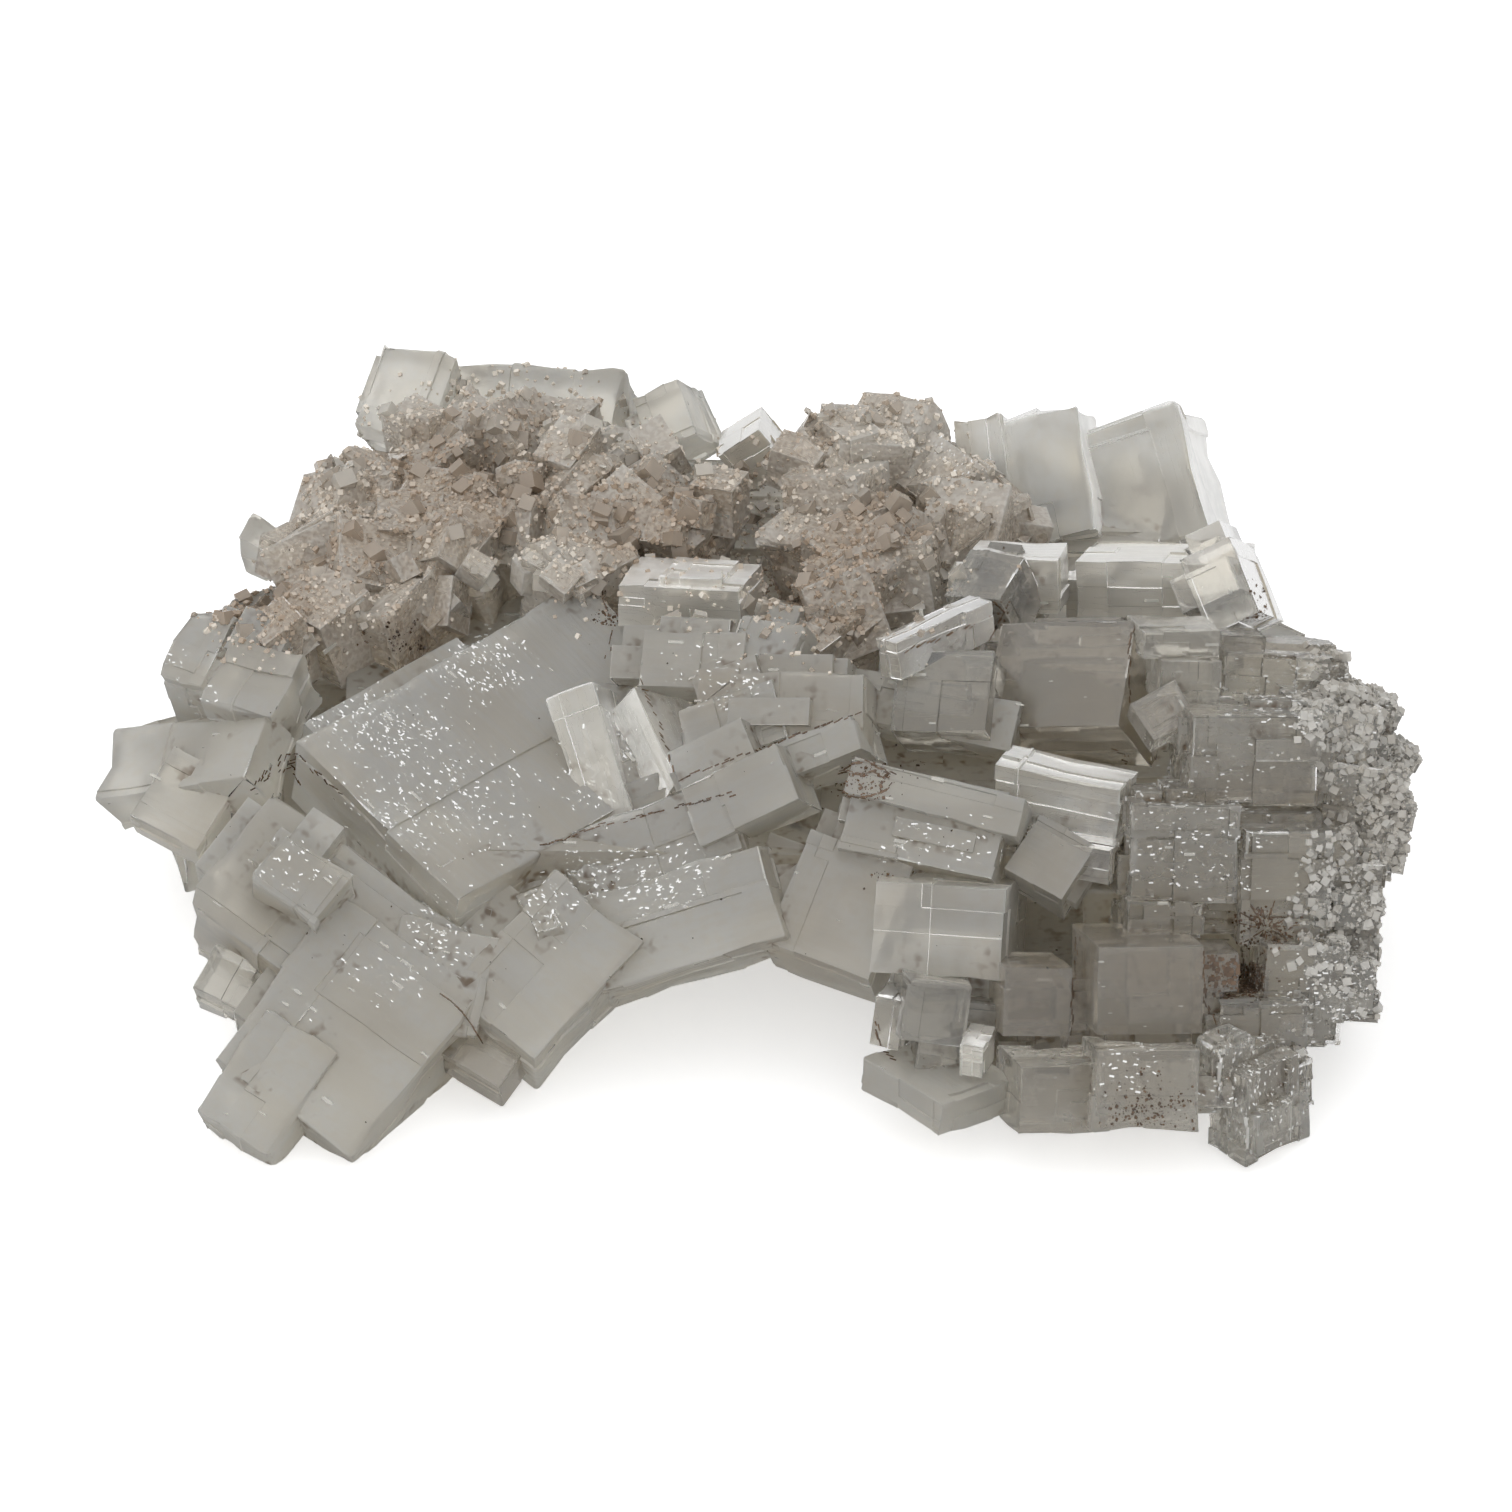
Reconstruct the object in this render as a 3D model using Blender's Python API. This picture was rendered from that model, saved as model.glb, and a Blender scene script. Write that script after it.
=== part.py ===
"""Halite cubic crystal: one cluster of cubes grown together, standing on a flat sawn base.

The crystals are set out in the display frame: u to the right, v up and w toward the front, with the
specimen leaning back by VIEW_TILT. A crystal is a cuboid known by its nearest corner, the directions
its three edges take as they leave that corner, and their lengths. turn() puts all of it in the world,
where +X is the length of the specimen, -Y its front and z = 0 the flat base.
"""

import math
import random

import bmesh
import bpy
import numpy as np

for old in list(bpy.data.objects):
    bpy.data.objects.remove(old)

MM = 0.001
VIEW_TILT = math.radians(35.0)  # how far the display frame leans back from upright
ORIGIN = np.array((-0.15, -28.1, 0.0))  # the middle of the base, in the layout below, mm
BASE_CUT = 60.0  # depth of the block that saws the base flat, mm
DRUSE_SEED = 11  # the small cubes of the sugary crust
DRUSE_SINK = 0.28  # how deep a small cube sits in what it grows on, as part of its size
IOR = 1.544
HALITE = (0.80, 0.79, 0.75, 1.0)

# Each row: name, nearest corner (u, v, w) in mm, the three edge directions as they appear from the
# front in degrees (0 is right, 90 is up), and the three edge lengths in mm.
CRYSTALS = [
    # the left lobe
    ("far_left", (-76.7, -3.3, 62), (188, 72, -45), (30, 13, 9)),
    ("far_left_low", (-84.0, -14.3, 58), (152, 58, -75), (12, 13, 8)),
    ("left_cap", (-83.4, 9.9, 50), (165, 62, -65), (9, 14, 15)),
    ("left_slab", (-44.4, -21.6, 76), (136, 30, -97), (38.5, 56, 13)),
    ("long_upper", (-53.7, -44.4, 86), (145, 52, -82), (40, 22, 26)),
    ("long_lower", (-60.0, -60.0, 92), (145, 52, -82), (27, 33, 24)),
    ("long_raised", (-65.7, -25.4, 91), (145, 52, -82), (13, 10, 14)),
    ("left_foot", (-72.4, -60.0, 92), (148, 55, -80), (14, 20, 14)),
    ("long_end", (-41.7, -42.6, 86), (168, 76, -60), (16, 17, 16)),
    ("grey_cube", (-77.4, -38.1, 76), (155, 62, -75), (8, 8, 10)),
    ("dark_stub", (-38.4, -49.5, 84), (150, 55, -80), (11, 9, 8)),
    ("lower_mid", (-33.0, -46.0, 87), (140, 48, -85), (18, 25, 17)),
    ("bridge", (4.4, -26.9, 86), (197, 105, -29), (33, 15, 16)),
    ("bridge_top", (-1.6, -14.0, 84), (200, 108, -28), (38, 12, 20)),
    ("strip_a", (-11.7, -3.9, 80), (115, 232, -8), (20, 10, 12)),
    ("strip_b", (-17.4, -11.9, 84), (107, 200, -28), (25, 8, 15)),
    ("left_fill", (-72.9, 5.4, 58), (165, 62, -68), (13, 13, 13)),
    # the centre
    ("centre_low", (16.8, -33.5, 86), (160, 68, -68), (17, 19, 16)),
    ("centre_block", (37.3, -19.8, 90), (176, 267, 40), (20, 14, 26)),
    ("hopper_plate", (38.7, -11.9, 88), (166, 74, -60), (27, 6, 16)),
    ("hopper_step", (35.1, -18.6, 87), (168, 76, -58), (24, 9, 16)),
    ("seam_low", (6.6, -6.6, 84), (205, 112, -25), (17, 10, 14)),
    ("seam_top", (15.9, 0.9, 79), (202, 108, -28), (22, 6, 14)),
    ("centre_side", (45.6, -21.6, 84), (150, 58, -80), (10, 10, 12)),
    ("centre_flat", (15.9, 2.4, 76), (180, 87, -47), (21, 10.5, 14)),
    ("seam_back", (5.0, 2.7, 75), (200, 105, -28), (16, 10, 14)),
    ("pale_lump", (5.1, 12.9, 68), (172, 70, -60), (11, 9, 10)),
    ("mid_block", (-2.4, 24.9, 54), (177, 272, 50), (19.5, 7, 14)),
    ("mid_cap", (-5.0, 26.7, 52), (178, 273, 48), (10, 4, 10)),
    ("mid_under", (-2.4, 9.9, 66), (178, 84, -50), (16, 9, 12)),
    ("bar", (20.9, 17.0, 72), (165, 278, 24), (5, 6.5, 20)),
    ("bar_under", (34.4, 3.2, 72), (178, 84, -50), (15, 13, 12)),
    ("bar_end", (36.6, 23.4, 58), (175, 60, -65), (10, 10, 10)),
    # the right lobe, from its upper end down to its foot
    ("dark_cube", (54.3, 4.4, 72), (181, 80, -50), (22.5, 18, 16)),
    ("dark_ledge", (54.6, -5.1, 84), (168, 265, 50), (20, 9, 8)),
    ("ledge_low", (53.0, -14.0, 84), (170, 267, 50), (15, 6, 10)),
    ("turned_cube", (59.4, 2.1, 77), (122, 30, -104), (7, 8, 8)),
    ("small_dark", (60.6, 14.4, 74), (0, -92, 135), (9.5, 7, 12)),
    ("bar_right", (58.0, 18.6, 72), (1, -91.5, 135), (12, 4.5, 12)),
    ("upper_right", (72.3, 29.1, 48), (179, 272, 45), (25, 9, 15)),
    ("right_horn", (75.9, 21.6, 52), (112, 205, -20), (13, 9, 14)),
    ("upper_mid", (45.6, 29.4, 50), (178, 271, 60), (14, 9, 10)),
    ("bench_a", (56.0, -7.3, 88), (0, -92, 135), (17, 15, 18)),
    ("bench_b", (65.0, 6.0, 82), (0, -92, 135), (20, 14, 18)),
    ("bench_c", (72.6, -11.0, 86), (0, -92, 135), (14, 18, 18)),
    ("bench_d", (80.0, 8.4, 74), (-5, -97, 130), (14, 16, 18)),
    ("bench_e", (86.0, -0.6, 74), (-8, -101, 125), (13, 18, 16)),
    ("bench_f", (81.6, -15.6, 80), (-2, -94, 133), (13, 16, 18)),
    ("bench_g", (76.0, -27.6, 88), (-2, -94, 133), (13, 16, 18)),
    ("bench_h", (69.0, -36.6, 92), (1, -91.5, 135), (14, 9, 16)),
    ("bench_i", (81.6, -34.4, 82), (-3, -95, 130), (12, 5.5, 14)),
    ("bench_j", (55.4, -21.6, 87), (0, -92, 135), (12, 6, 14)),
    ("bench_k", (70.4, 16.0, 64), (-3, -95, 132), (19, 9, 16)),
    ("bench_l", (88.0, 10.0, 66), (-24, -116, 110), (10, 13, 14)),
    ("bench_m", (95.2, 1.8, 66), (-30, -122, 105), (5.5, 9, 12)),
    ("bench_n", (92.4, -6.0, 72), (-10, -101, 125), (7, 11.5, 14)),
    ("front_cube", (50.9, -28.4, 97), (1, -91, 138), (16.2, 13.5, 20)),
    ("front_left", (37.0, -31.5, 93), (0, -92, 140), (10.5, 10.5, 14)),
    ("grey_step", (22.6, -33.1, 94), (-6, -98, 128), (10.5, 10, 14)),
    ("pad", (22.4, -36.6, 90), (168, 262, 45), (5, 8, 10)),
    ("tan_cube", (34.0, -43.5, 95), (170, 268, 60), (4.2, 6, 7)),
    ("low_bench", (27.6, -52.0, 98), (148, 20, -95), (18, 15.6, 6)),
    ("foot_block", (39.0, -45.9, 98.5), (1, -92, 135), (15, 8.5, 14)),
    ("foot_round", (50.1, -43.3, 101), (0, -91, 137), (16.5, 11, 14)),
    ("prism_a", (73.0, -47.9, 98), (-90, 150, 25), (16, 9, 13)),
    ("prism_b", (79.0, -47.0, 92), (-88, 152, 28), (9, 6, 6)),
    ("prism_c", (69.0, -44.0, 99), (-93, 147, 22), (11, 6, 7)),
    # the pale crystals along the back
    ("pale_a", (69.5, 34.0, 12), (106, 198, -30), (21.5, 17, 20)),
    ("pale_b", (52.4, 33.7, 14), (100, 192, -35), (21, 14, 20)),
    ("pale_c", (39.6, 35.4, 13), (98, 190, -38), (18, 8, 18)),
    ("pale_d", (-50.4, 47.4, -5), (165, 70, -60), (13, 15, 15)),
    ("pale_e", (-21.9, 47.4, -5), (178, 82, -48), (28, 13, 13)),
    ("pale_f", (-8.4, 48.9, -4), (203, 110, -25), (9, 10.5, 14)),
    ("pale_tip", (-74.2, 30.6, 25), (155, 58, -80), (6, 6, 12)),
    ("smoky", (0.2, 49.5, 15), (213, -50, 80), (8, 8, 9)),
    # the blocks that the crust of small cubes grows on
    ("druse_a", (21.6, 45.0, 22), (178, 60, -60), (15, 15, 15)),
    ("druse_b", (14.0, 29.4, 42), (170, 50, -70), (18, 18, 18)),
    ("druse_c", (29.0, 29.4, 40), (160, 40, -80), (14, 14, 14)),
    ("druse_d", (9.6, 17.4, 60), (150, 30, -90), (14, 14, 14)),
    ("druse_e", (-42.9, 45.9, 10), (150, 35, -88), (14, 14, 14)),
    ("druse_f", (-32.4, 45.0, 12), (165, 45, -72), (16, 16, 16)),
    ("druse_g", (-20.4, 38.4, 22), (175, 60, -60), (17, 17, 17)),
    ("druse_h", (-53.4, 38.4, 20), (140, 20, -100), (15, 15, 15)),
    ("druse_i", (-62.4, 32.4, 28), (155, 35, -85), (12, 12, 12)),
    ("druse_j", (-42.9, 29.4, 38), (165, 50, -70), (18, 18, 18)),
    ("druse_k", (-26.4, 24.9, 48), (150, 30, -90), (14, 14, 14)),
    ("druse_l", (-11.4, 32.4, 36), (170, 55, -65), (14, 14, 14)),
    ("druse_m", (-56.4, 20.4, 48), (160, 45, -75), (16, 16, 16)),
    ("druse_n", (-71.4, 17.4, 46), (150, 30, -90), (13, 13, 13)),
    ("druse_o", (-63.9, 39.5, 14), (150, 40, -85), (8, 8, 8)),
    ("druse_p", (11.0, 43.0, 24), (165, 60, -62), (12, 12, 12)),
    ("druse_q", (34.4, 35.4, 28), (150, 35, -85), (12, 12, 12)),
    ("druse_r", (-69.0, 26.5, 30), (155, 38, -82), (9, 9, 12)),
]

# Blocks in the world frame that carry the crystals, so that the cluster is solid right through:
# (name, lowest corner, highest corner, turn about +Z in degrees), mm.
CORES = [
    ("core_back", (-62, -54, -6), (64, 18, 33), 1.0),
    ("core_left", (-80, -58, -6), (-52, -12, 23), 3.0),
    ("core_left_front", (-75, -95, -6), (-54, -48, 11), -2.0),
    ("core_left_inner", (-60, -79, -6), (-35, -46, 15), 4.0),
    ("core_right", (50, -74, -6), (83, -18, 27), -2.5),
    ("core_right_front", (27, -92, -6), (77, -46, 12), 2.0),
    ("core_arch", (-40, -72, 20), (40, -40, 33), -1.5),
    ("core_ridge", (-62, 8, -6), (62, 33, 33), -0.8),
]

# Crystals on the hidden sides, in the world frame: (name, centre, turn about X, Y and Z, size), mm.
HIDDEN = [
    ("back_a", (-54, 32, 12), (8, 12, 24), (24, 18, 26)),
    ("back_b", (-33, 36, 14), (-6, 20, -12), (26, 16, 24)),
    ("back_c", (-10, 34, 10), (14, -10, 30), (22, 20, 22)),
    ("back_d", (9, 33, 17), (10, 8, 12), (24, 16, 24)),
    ("back_e", (30, 32, 11), (-12, 14, -20), (22, 18, 24)),
    ("back_f", (53, 26, 14), (6, -14, 28), (24, 20, 24)),
    ("back_g", (-70, 4, 12), (10, 12, 40), (20, 18, 22)),
    ("back_h", (70, 0, 12), (-8, 10, 36), (20, 18, 22)),
    ("side_a", (-82, -30, 14), (12, -8, 16), (16, 20, 18)),
    ("side_b", (84, -36, 12), (8, 14, -14), (16, 22, 22)),
    ("side_c", (82, -60, 8), (-10, 8, 20), (14, 18, 16)),
    ("under_a", (-2, -60, 22), (14, 10, 8), (30, 18, 16)),
    ("under_b", (-24, -64, 18), (-8, 16, 30), (20, 18, 16)),
]

# Where the small cubes grow: (centre u, centre v, half width, half height, count), mm.
DRUSE = [
    (-50, 42, 14, 9, 26),
    (-22, 40, 16, 9, 26),
    (-46, 30, 16, 8, 18),
    (-12, 34, 10, 10, 16),
    (-72, 22, 8, 6, 12),
    (12, 32, 14, 12, 24),
    (26, 42, 12, 10, 18),
    (90, 2, 8, 12, 12),
]
CUBE_SIZES = (2.2, 4.2)


def attitude(angles):
    """The unit edge directions of a cuboid, as columns (u, v, w), from how they appear in front view."""
    a, b, c = (math.radians(angle) for angle in angles)
    ab, bc, ac = -math.cos(a - b), -math.cos(b - c), -math.cos(a - c)
    slopes = (math.sqrt(ab * ac / bc), math.sqrt(ab * bc / ac), math.sqrt(ac * bc / ab))
    edges = [np.array((math.cos(t), math.sin(t), -s)) for t, s in zip((a, b, c), slopes)]
    return np.array([edge / np.linalg.norm(edge) for edge in edges]).T


def turn(points):
    """Display frame to world: lean the display back by VIEW_TILT about the X axis."""
    sine, cosine = math.sin(VIEW_TILT), math.cos(VIEW_TILT)
    u, v, w = np.asarray(points, float).T
    return np.array((u, v * sine - w * cosine, v * cosine + w * sine)).T


def euler(angles):
    """A turn about X, then Y, then Z, in degrees, as a 3 x 3 matrix."""
    x, y, z = (math.radians(angle) for angle in angles)
    about_x = np.array(((1, 0, 0), (0, math.cos(x), -math.sin(x)), (0, math.sin(x), math.cos(x))))
    about_y = np.array(((math.cos(y), 0, math.sin(y)), (0, 1, 0), (-math.sin(y), 0, math.cos(y))))
    about_z = np.array(((math.cos(z), -math.sin(z), 0), (math.sin(z), math.cos(z), 0), (0, 0, 1)))
    return about_z @ about_y @ about_x


def corners(origin, edges, lengths):
    """The eight corners of a cuboid, from one corner along its three edge directions."""
    steps = np.array([(i, j, k) for k in (0, 1) for j in (0, 1) for i in (0, 1)], float)
    return np.asarray(origin, float) + (steps * np.asarray(lengths, float)) @ np.asarray(edges).T


def block(name, points):
    """A closed cuboid mesh from the corners() order, in world mm, with its faces outward."""
    sides = ((0, 2, 3, 1), (4, 5, 7, 6), (0, 1, 5, 4), (2, 6, 7, 3), (0, 4, 6, 2), (1, 3, 7, 5))
    mesh = bpy.data.meshes.new(name)
    mesh.from_pydata([tuple((point - ORIGIN) * MM) for point in points], [], sides)
    shape = bmesh.new()
    shape.from_mesh(mesh)
    bmesh.ops.recalc_face_normals(shape, faces=shape.faces)
    shape.to_mesh(mesh)
    shape.free()
    made = bpy.data.objects.new(name, mesh)
    return made


def nearest(u, v, cuboids):
    """The depth w at which the line through (u, v) first meets one of the cuboids, or None."""
    found = None
    for origin, edges, lengths in cuboids:
        start = (np.array((u, v, 400.0)) - origin) @ edges
        along = np.array((0.0, 0.0, -1.0)) @ edges
        first, last = np.sort(((0 - start) / along, (lengths - start) / along), axis=0)
        if first.max() < last.min() and (found is None or 400 - first.max() > found):
            found = 400 - first.max()
    return found


def druse_cubes(cuboids):
    """Small cubes set into the crystals of the crust, each with its own size and attitude."""
    dice = random.Random(DRUSE_SEED)
    placed = []
    for u0, v0, half_u, half_v, count in DRUSE:
        for _ in range(count):
            turned, reach = dice.uniform(0, 2 * math.pi), math.sqrt(dice.random())
            u, v = u0 + half_u * reach * math.cos(turned), v0 + half_v * reach * math.sin(turned)
            size = dice.uniform(*CUBE_SIZES)
            spin = euler([dice.uniform(-40, 40) for _ in range(3)])
            w = nearest(u, v, cuboids)
            if w is not None:
                middle = np.array((u, v, w - DRUSE_SINK * size))
                placed.append((middle - spin @ np.full(3, size / 2), spin, np.full(3, size)))
    return placed


def collect(name, objects):
    """Keep the helper solids together in one collection that the Boolean can take as a whole."""
    group = bpy.data.collections.new(name)
    bpy.context.scene.collection.children.link(group)
    for helper in objects:
        group.objects.link(helper)
        helper.hide_render = True
        helper.display_type = "WIRE"
    return group


def clear_halite():
    """See-through crystal: plain transmission with the refraction of rock salt."""
    material = bpy.data.materials.new("clear_halite")
    material.use_nodes = True
    shader = material.node_tree.nodes["Principled BSDF"]
    shader.inputs["Base Color"].default_value = HALITE
    shader.inputs["Roughness"].default_value = 0.12
    shader.inputs["IOR"].default_value = IOR
    shader.inputs["Transmission Weight"].default_value = 0.85
    return material


def build():
    """Grow the cluster: one core block, joined with every crystal, then sawn flat at z = 0."""
    cuboids = [
        (np.array(origin, float), attitude(angles), np.array(lengths, float))
        for _, origin, angles, lengths in CRYSTALS
    ]
    solids = [
        block(row[0], turn(corners(*cuboid))) for row, cuboid in zip(CRYSTALS, cuboids)
    ]
    for index, cuboid in enumerate(druse_cubes(cuboids)):
        solids.append(block(f"druse_cube_{index:03d}", turn(corners(*cuboid))))
    for name, low, high, angle in CORES:
        size = np.subtract(high, low)
        spin = euler((0, 0, angle))
        middle = np.add(low, high) / 2
        solids.append(block(name, corners(middle - spin @ (size / 2), spin, size)))
    for name, middle, angles, size in HIDDEN:
        spin = euler(angles)
        solids.append(block(name, corners(np.array(middle) - spin @ (np.array(size) / 2), spin, size)))
    first = next(solid for solid in solids if solid.name == "core_back")
    solids.remove(first)
    cluster = first
    cluster.name = cluster.data.name = "halite_cluster"
    bpy.context.scene.collection.objects.link(cluster)

    join = cluster.modifiers.new("grown_together", "BOOLEAN")
    join.operation, join.solver = "UNION", "EXACT"
    join.operand_type, join.collection = "COLLECTION", collect("crystals", solids)
    join.use_self = True

    reach = 300.0
    below = block(
        "base_saw", corners((-reach / 2, -reach / 2, -BASE_CUT), np.eye(3), (reach, reach, BASE_CUT))
    )
    saw = cluster.modifiers.new("sawn_base", "BOOLEAN")
    saw.operation, saw.solver = "DIFFERENCE", "EXACT"
    saw.operand_type, saw.object = "OBJECT", below
    collect("tools", [below])
    cluster.data.materials.append(clear_halite())
    return cluster


build()
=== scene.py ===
# %% [markdown]
# # A cluster of halite cubes
#
# Rock salt grows as cubes. Where many cubes grow at once they run into each other, and the result is
# one solid lump whose surface is made of cube corners, ledges and steps. This lesson builds such a
# cluster on top of its plain solid model: every cube again with growth steps and worn edges, a crust
# of sugary small cubes, milky veils inside, and clay in the cracks.

import itertools
import math

import bpy
import numpy as np
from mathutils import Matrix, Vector
from mathutils.bvhtree import BVHTree


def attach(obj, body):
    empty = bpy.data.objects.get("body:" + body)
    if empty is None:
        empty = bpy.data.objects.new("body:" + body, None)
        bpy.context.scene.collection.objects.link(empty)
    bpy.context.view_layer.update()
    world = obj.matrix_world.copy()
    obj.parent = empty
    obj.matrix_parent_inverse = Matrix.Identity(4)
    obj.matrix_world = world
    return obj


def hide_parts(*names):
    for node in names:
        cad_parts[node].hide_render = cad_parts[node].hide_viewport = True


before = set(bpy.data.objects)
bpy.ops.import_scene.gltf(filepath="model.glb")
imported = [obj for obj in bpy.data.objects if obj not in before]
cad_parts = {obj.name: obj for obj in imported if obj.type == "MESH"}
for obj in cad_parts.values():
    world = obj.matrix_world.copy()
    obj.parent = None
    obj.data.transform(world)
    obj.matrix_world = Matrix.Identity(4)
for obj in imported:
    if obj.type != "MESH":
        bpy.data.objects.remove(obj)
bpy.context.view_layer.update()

MM = 0.001
VIEW_TILT = math.radians(35.0)  # how far the display frame leans back from upright
ORIGIN = np.array((-0.15, -28.1, 0.0))  # the middle of the base in the layout, mm
UNIT_CORNERS = np.array(list(itertools.product((0, 1), repeat=3)))  # of a cube with edges of 1


def show(piece):
    """Put an object into the scene."""
    bpy.context.scene.collection.objects.link(piece)
    return piece


def unit(vectors):
    """The same directions, each at a length of one."""
    return vectors / np.linalg.norm(vectors, axis=-1, keepdims=True)


def read(items, name, width=1, kind=np.float32):
    """One property of all the items of a mesh, as a flat array. width is how many numbers each has."""
    values = np.empty(len(items) * width, kind)
    items.foreach_get(name, values)
    return values


# %% [markdown]
# ## Two frames of reference
#
# The cubes are easiest to place as they are seen from the front: u runs right, v up and w toward the
# viewer, who looks down by 35 degrees. The world frame stands upright. Leaning the first frame back
# about X turns one into the other. A matrix product does it for any number of points at once.

# %% From the display frame to the world, and back
SINE, COSINE = math.sin(VIEW_TILT), math.cos(VIEW_TILT)
LEAN = np.array(((1, 0, 0), (0, SINE, -COSINE), (0, COSINE, SINE)))
INTO_PICTURE = Vector(LEAN @ (0, 0, -1))


def to_world(points):
    """Display mm to world mm: X = u, Y = v sin - w cos, Z = v cos + w sin, then less ORIGIN."""
    return np.asarray(points, float) @ LEAN.T - ORIGIN


def to_display(points):
    """World mm to display mm, the inverse of to_world."""
    return (np.asarray(points, float) + ORIGIN) @ LEAN


def attitude(angles):
    """The unit edge directions of a cube, as columns (u, v, w), from how they appear in front view.

    Three edges leave the nearest corner at angles a, b, c in the picture. With slopes t, each edge is
    (cos, sin, -t); any two of them are square to each other when t_a t_b = -cos(a - b), and so on."""
    a, b, c = np.radians(angles)
    ab, bc, ac = -np.cos(a - b), -np.cos(b - c), -np.cos(a - c)
    slopes = np.sqrt((ab * ac / bc, ab * bc / ac, ac * bc / ab))
    edges = np.array((np.cos((a, b, c)), np.sin((a, b, c)), -slopes))
    return edges / np.linalg.norm(edges, axis=0)


def turned(angles):
    """A turn about X, then Y, then Z, in degrees, as a 3 x 3 matrix."""
    (cx, cy, cz), (sx, sy, sz) = np.cos(np.radians(angles)), np.sin(np.radians(angles))
    about_x = np.array(((1, 0, 0), (0, cx, -sx), (0, sx, cx)))
    about_y = np.array(((cy, 0, sy), (0, 1, 0), (-sy, 0, cy)))
    about_z = np.array(((cz, -sz, 0), (sz, cz, 0), (0, 0, 1)))
    return about_z @ about_y @ about_x


# %% [markdown]
# ## Node graphs from small parts
#
# A material is a graph of nodes, and so is the sky. Written out, such graphs are long and dull. A few
# short helpers keep them readable: one adds a node and joins its inputs, another adds a sum, another
# eases a value from one level to another. Every graph below is built of them.

# %% Helpers for node graphs
def filled(tree, made, inputs):
    """The node, with each input joined to another node's socket or filled with a plain value."""
    for key, value in inputs.items():
        if isinstance(value, bpy.types.NodeSocket):
            tree.links.new(value, made.inputs[key])
        else:
            made.inputs[key].default_value = value
    return made


def node(tree, kind, inputs=None, **settings):
    """A new node with its settings made and its inputs filled."""
    made = tree.nodes.new("ShaderNode" + kind)
    for key, value in settings.items():
        setattr(made, key, value)
    return filled(tree, made, inputs or {})


def sum_of(tree, operation, *values, clamp=False):
    """The result of a Math node."""
    return node(tree, "Math", dict(enumerate(values)), operation=operation, use_clamp=clamp).outputs[0]


def between(tree, value, low, high, bottom=0.0, top=1.0):
    """The value eased from bottom to top as it goes from low to high."""
    inputs = {"Value": value, "From Min": low, "From Max": high, "To Min": bottom, "To Max": top}
    return node(tree, "MapRange", inputs, interpolation_type="SMOOTHSTEP").outputs[0]


def new_material(name):
    """A material, its node tree and its Principled shader."""
    material = bpy.data.materials.new(name)
    material.use_nodes = True
    return material, material.node_tree, material.node_tree.nodes["Principled BSDF"]


# %% [markdown]
# ## The camera, the table and the light
#
# A long lens from four metres keeps the cubes' edges nearly parallel. The floor is plain and pale.
# Clear crystals show what lies around them, so white surroundings would make them white, and lamps
# would burn small mirror images into their faces. Here all light comes from a soft sky, brightest
# overhead and a little to the left. It is dimmer for the salt than the white that the camera sees
# behind it, which is what gives clear salt its grey, inner look.

# %% Camera
PICTURE_MM = 226.8  # what the square picture spans at the cluster
CAMERA_REACH = 4000.0
AIM = (0.0, 0.0, 60.0)

camera_data = bpy.data.cameras.new("camera")
camera_data.sensor_fit = "HORIZONTAL"
camera_data.lens = camera_data.sensor_width * CAMERA_REACH / PICTURE_MM
camera_data.clip_end = 20.0  # metres
camera = show(bpy.data.objects.new("camera", camera_data))
camera.location = to_world(np.array(AIM) + (0, 0, CAMERA_REACH)) * MM
camera.rotation_euler = (math.pi / 2 - VIEW_TILT, 0, 0)
bpy.context.scene.camera = camera
print("lens, mm:", round(camera_data.lens, 1))

# %% Floor and sky
FLOOR_HALF = 6.0  # metres
FLOOR_LEVEL = -0.0003  # metres; just under the base, so that the two don't lie in one plane
FLOOR_GREY = 0.9
FLOOR_POLISH = 0.6
FLOOR_GLOW = 0.5  # added for the camera alone, so that the floor ends up white
BACKDROP = 1.0  # how bright the camera alone sees the surroundings
AMBIENT = (0.56, 1.2)  # how bright they are for the salt, at the dimmest and the brightest
BRIGHT_WAY = (-0.4, -0.3, 1.0)  # the direction that most of the light comes from
DIM_FROM = -0.2  # the cosine of the angle from BRIGHT_WAY past which the sky is at its dimmest
BOUNCES = 6  # how many surfaces a light path may meet
WHITE = (1, 1, 1, 1)


def for_camera(tree, others, camera_alone, socket):
    """Fill a value socket with camera_alone where the camera looks straight at it, and else others."""
    path = node(tree, "LightPath").outputs["Is Camera Ray"]
    pick = node(tree, "MapRange", {"Value": path, "To Min": others, "To Max": camera_alone})
    tree.links.new(pick.outputs[0], socket)


def soft_sky(tree, way, dim, bright):
    """A value for each direction: eased from dim, facing away from the way, to bright, along it."""
    looking = node(tree, "TexCoord").outputs["Generated"]
    both = {0: looking, 1: unit(np.array(way))}
    along = node(tree, "VectorMath", both, operation="DOT_PRODUCT").outputs["Value"]
    return between(tree, along, DIM_FROM, 1.0, dim, bright)


square = [(x * FLOOR_HALF, y * FLOOR_HALF, FLOOR_LEVEL) for x, y in ((-1, -1), (1, -1), (1, 1), (-1, 1))]
floor_mesh = bpy.data.meshes.new("floor")
floor_mesh.from_pydata(square, [], [(0, 1, 2, 3)])
pale_floor, floor_tree, floor_shader = new_material("pale_floor")
floor_colour = (FLOOR_GREY, FLOOR_GREY, FLOOR_GREY, 1)
floor_look = {"Base Color": floor_colour, "Roughness": FLOOR_POLISH, "Emission Color": WHITE}
filled(floor_tree, floor_shader, floor_look)
for_camera(floor_tree, 0.0, FLOOR_GLOW, floor_shader.inputs["Emission Strength"])
floor_mesh.materials.append(pale_floor)
show(bpy.data.objects.new("floor", floor_mesh))

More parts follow.
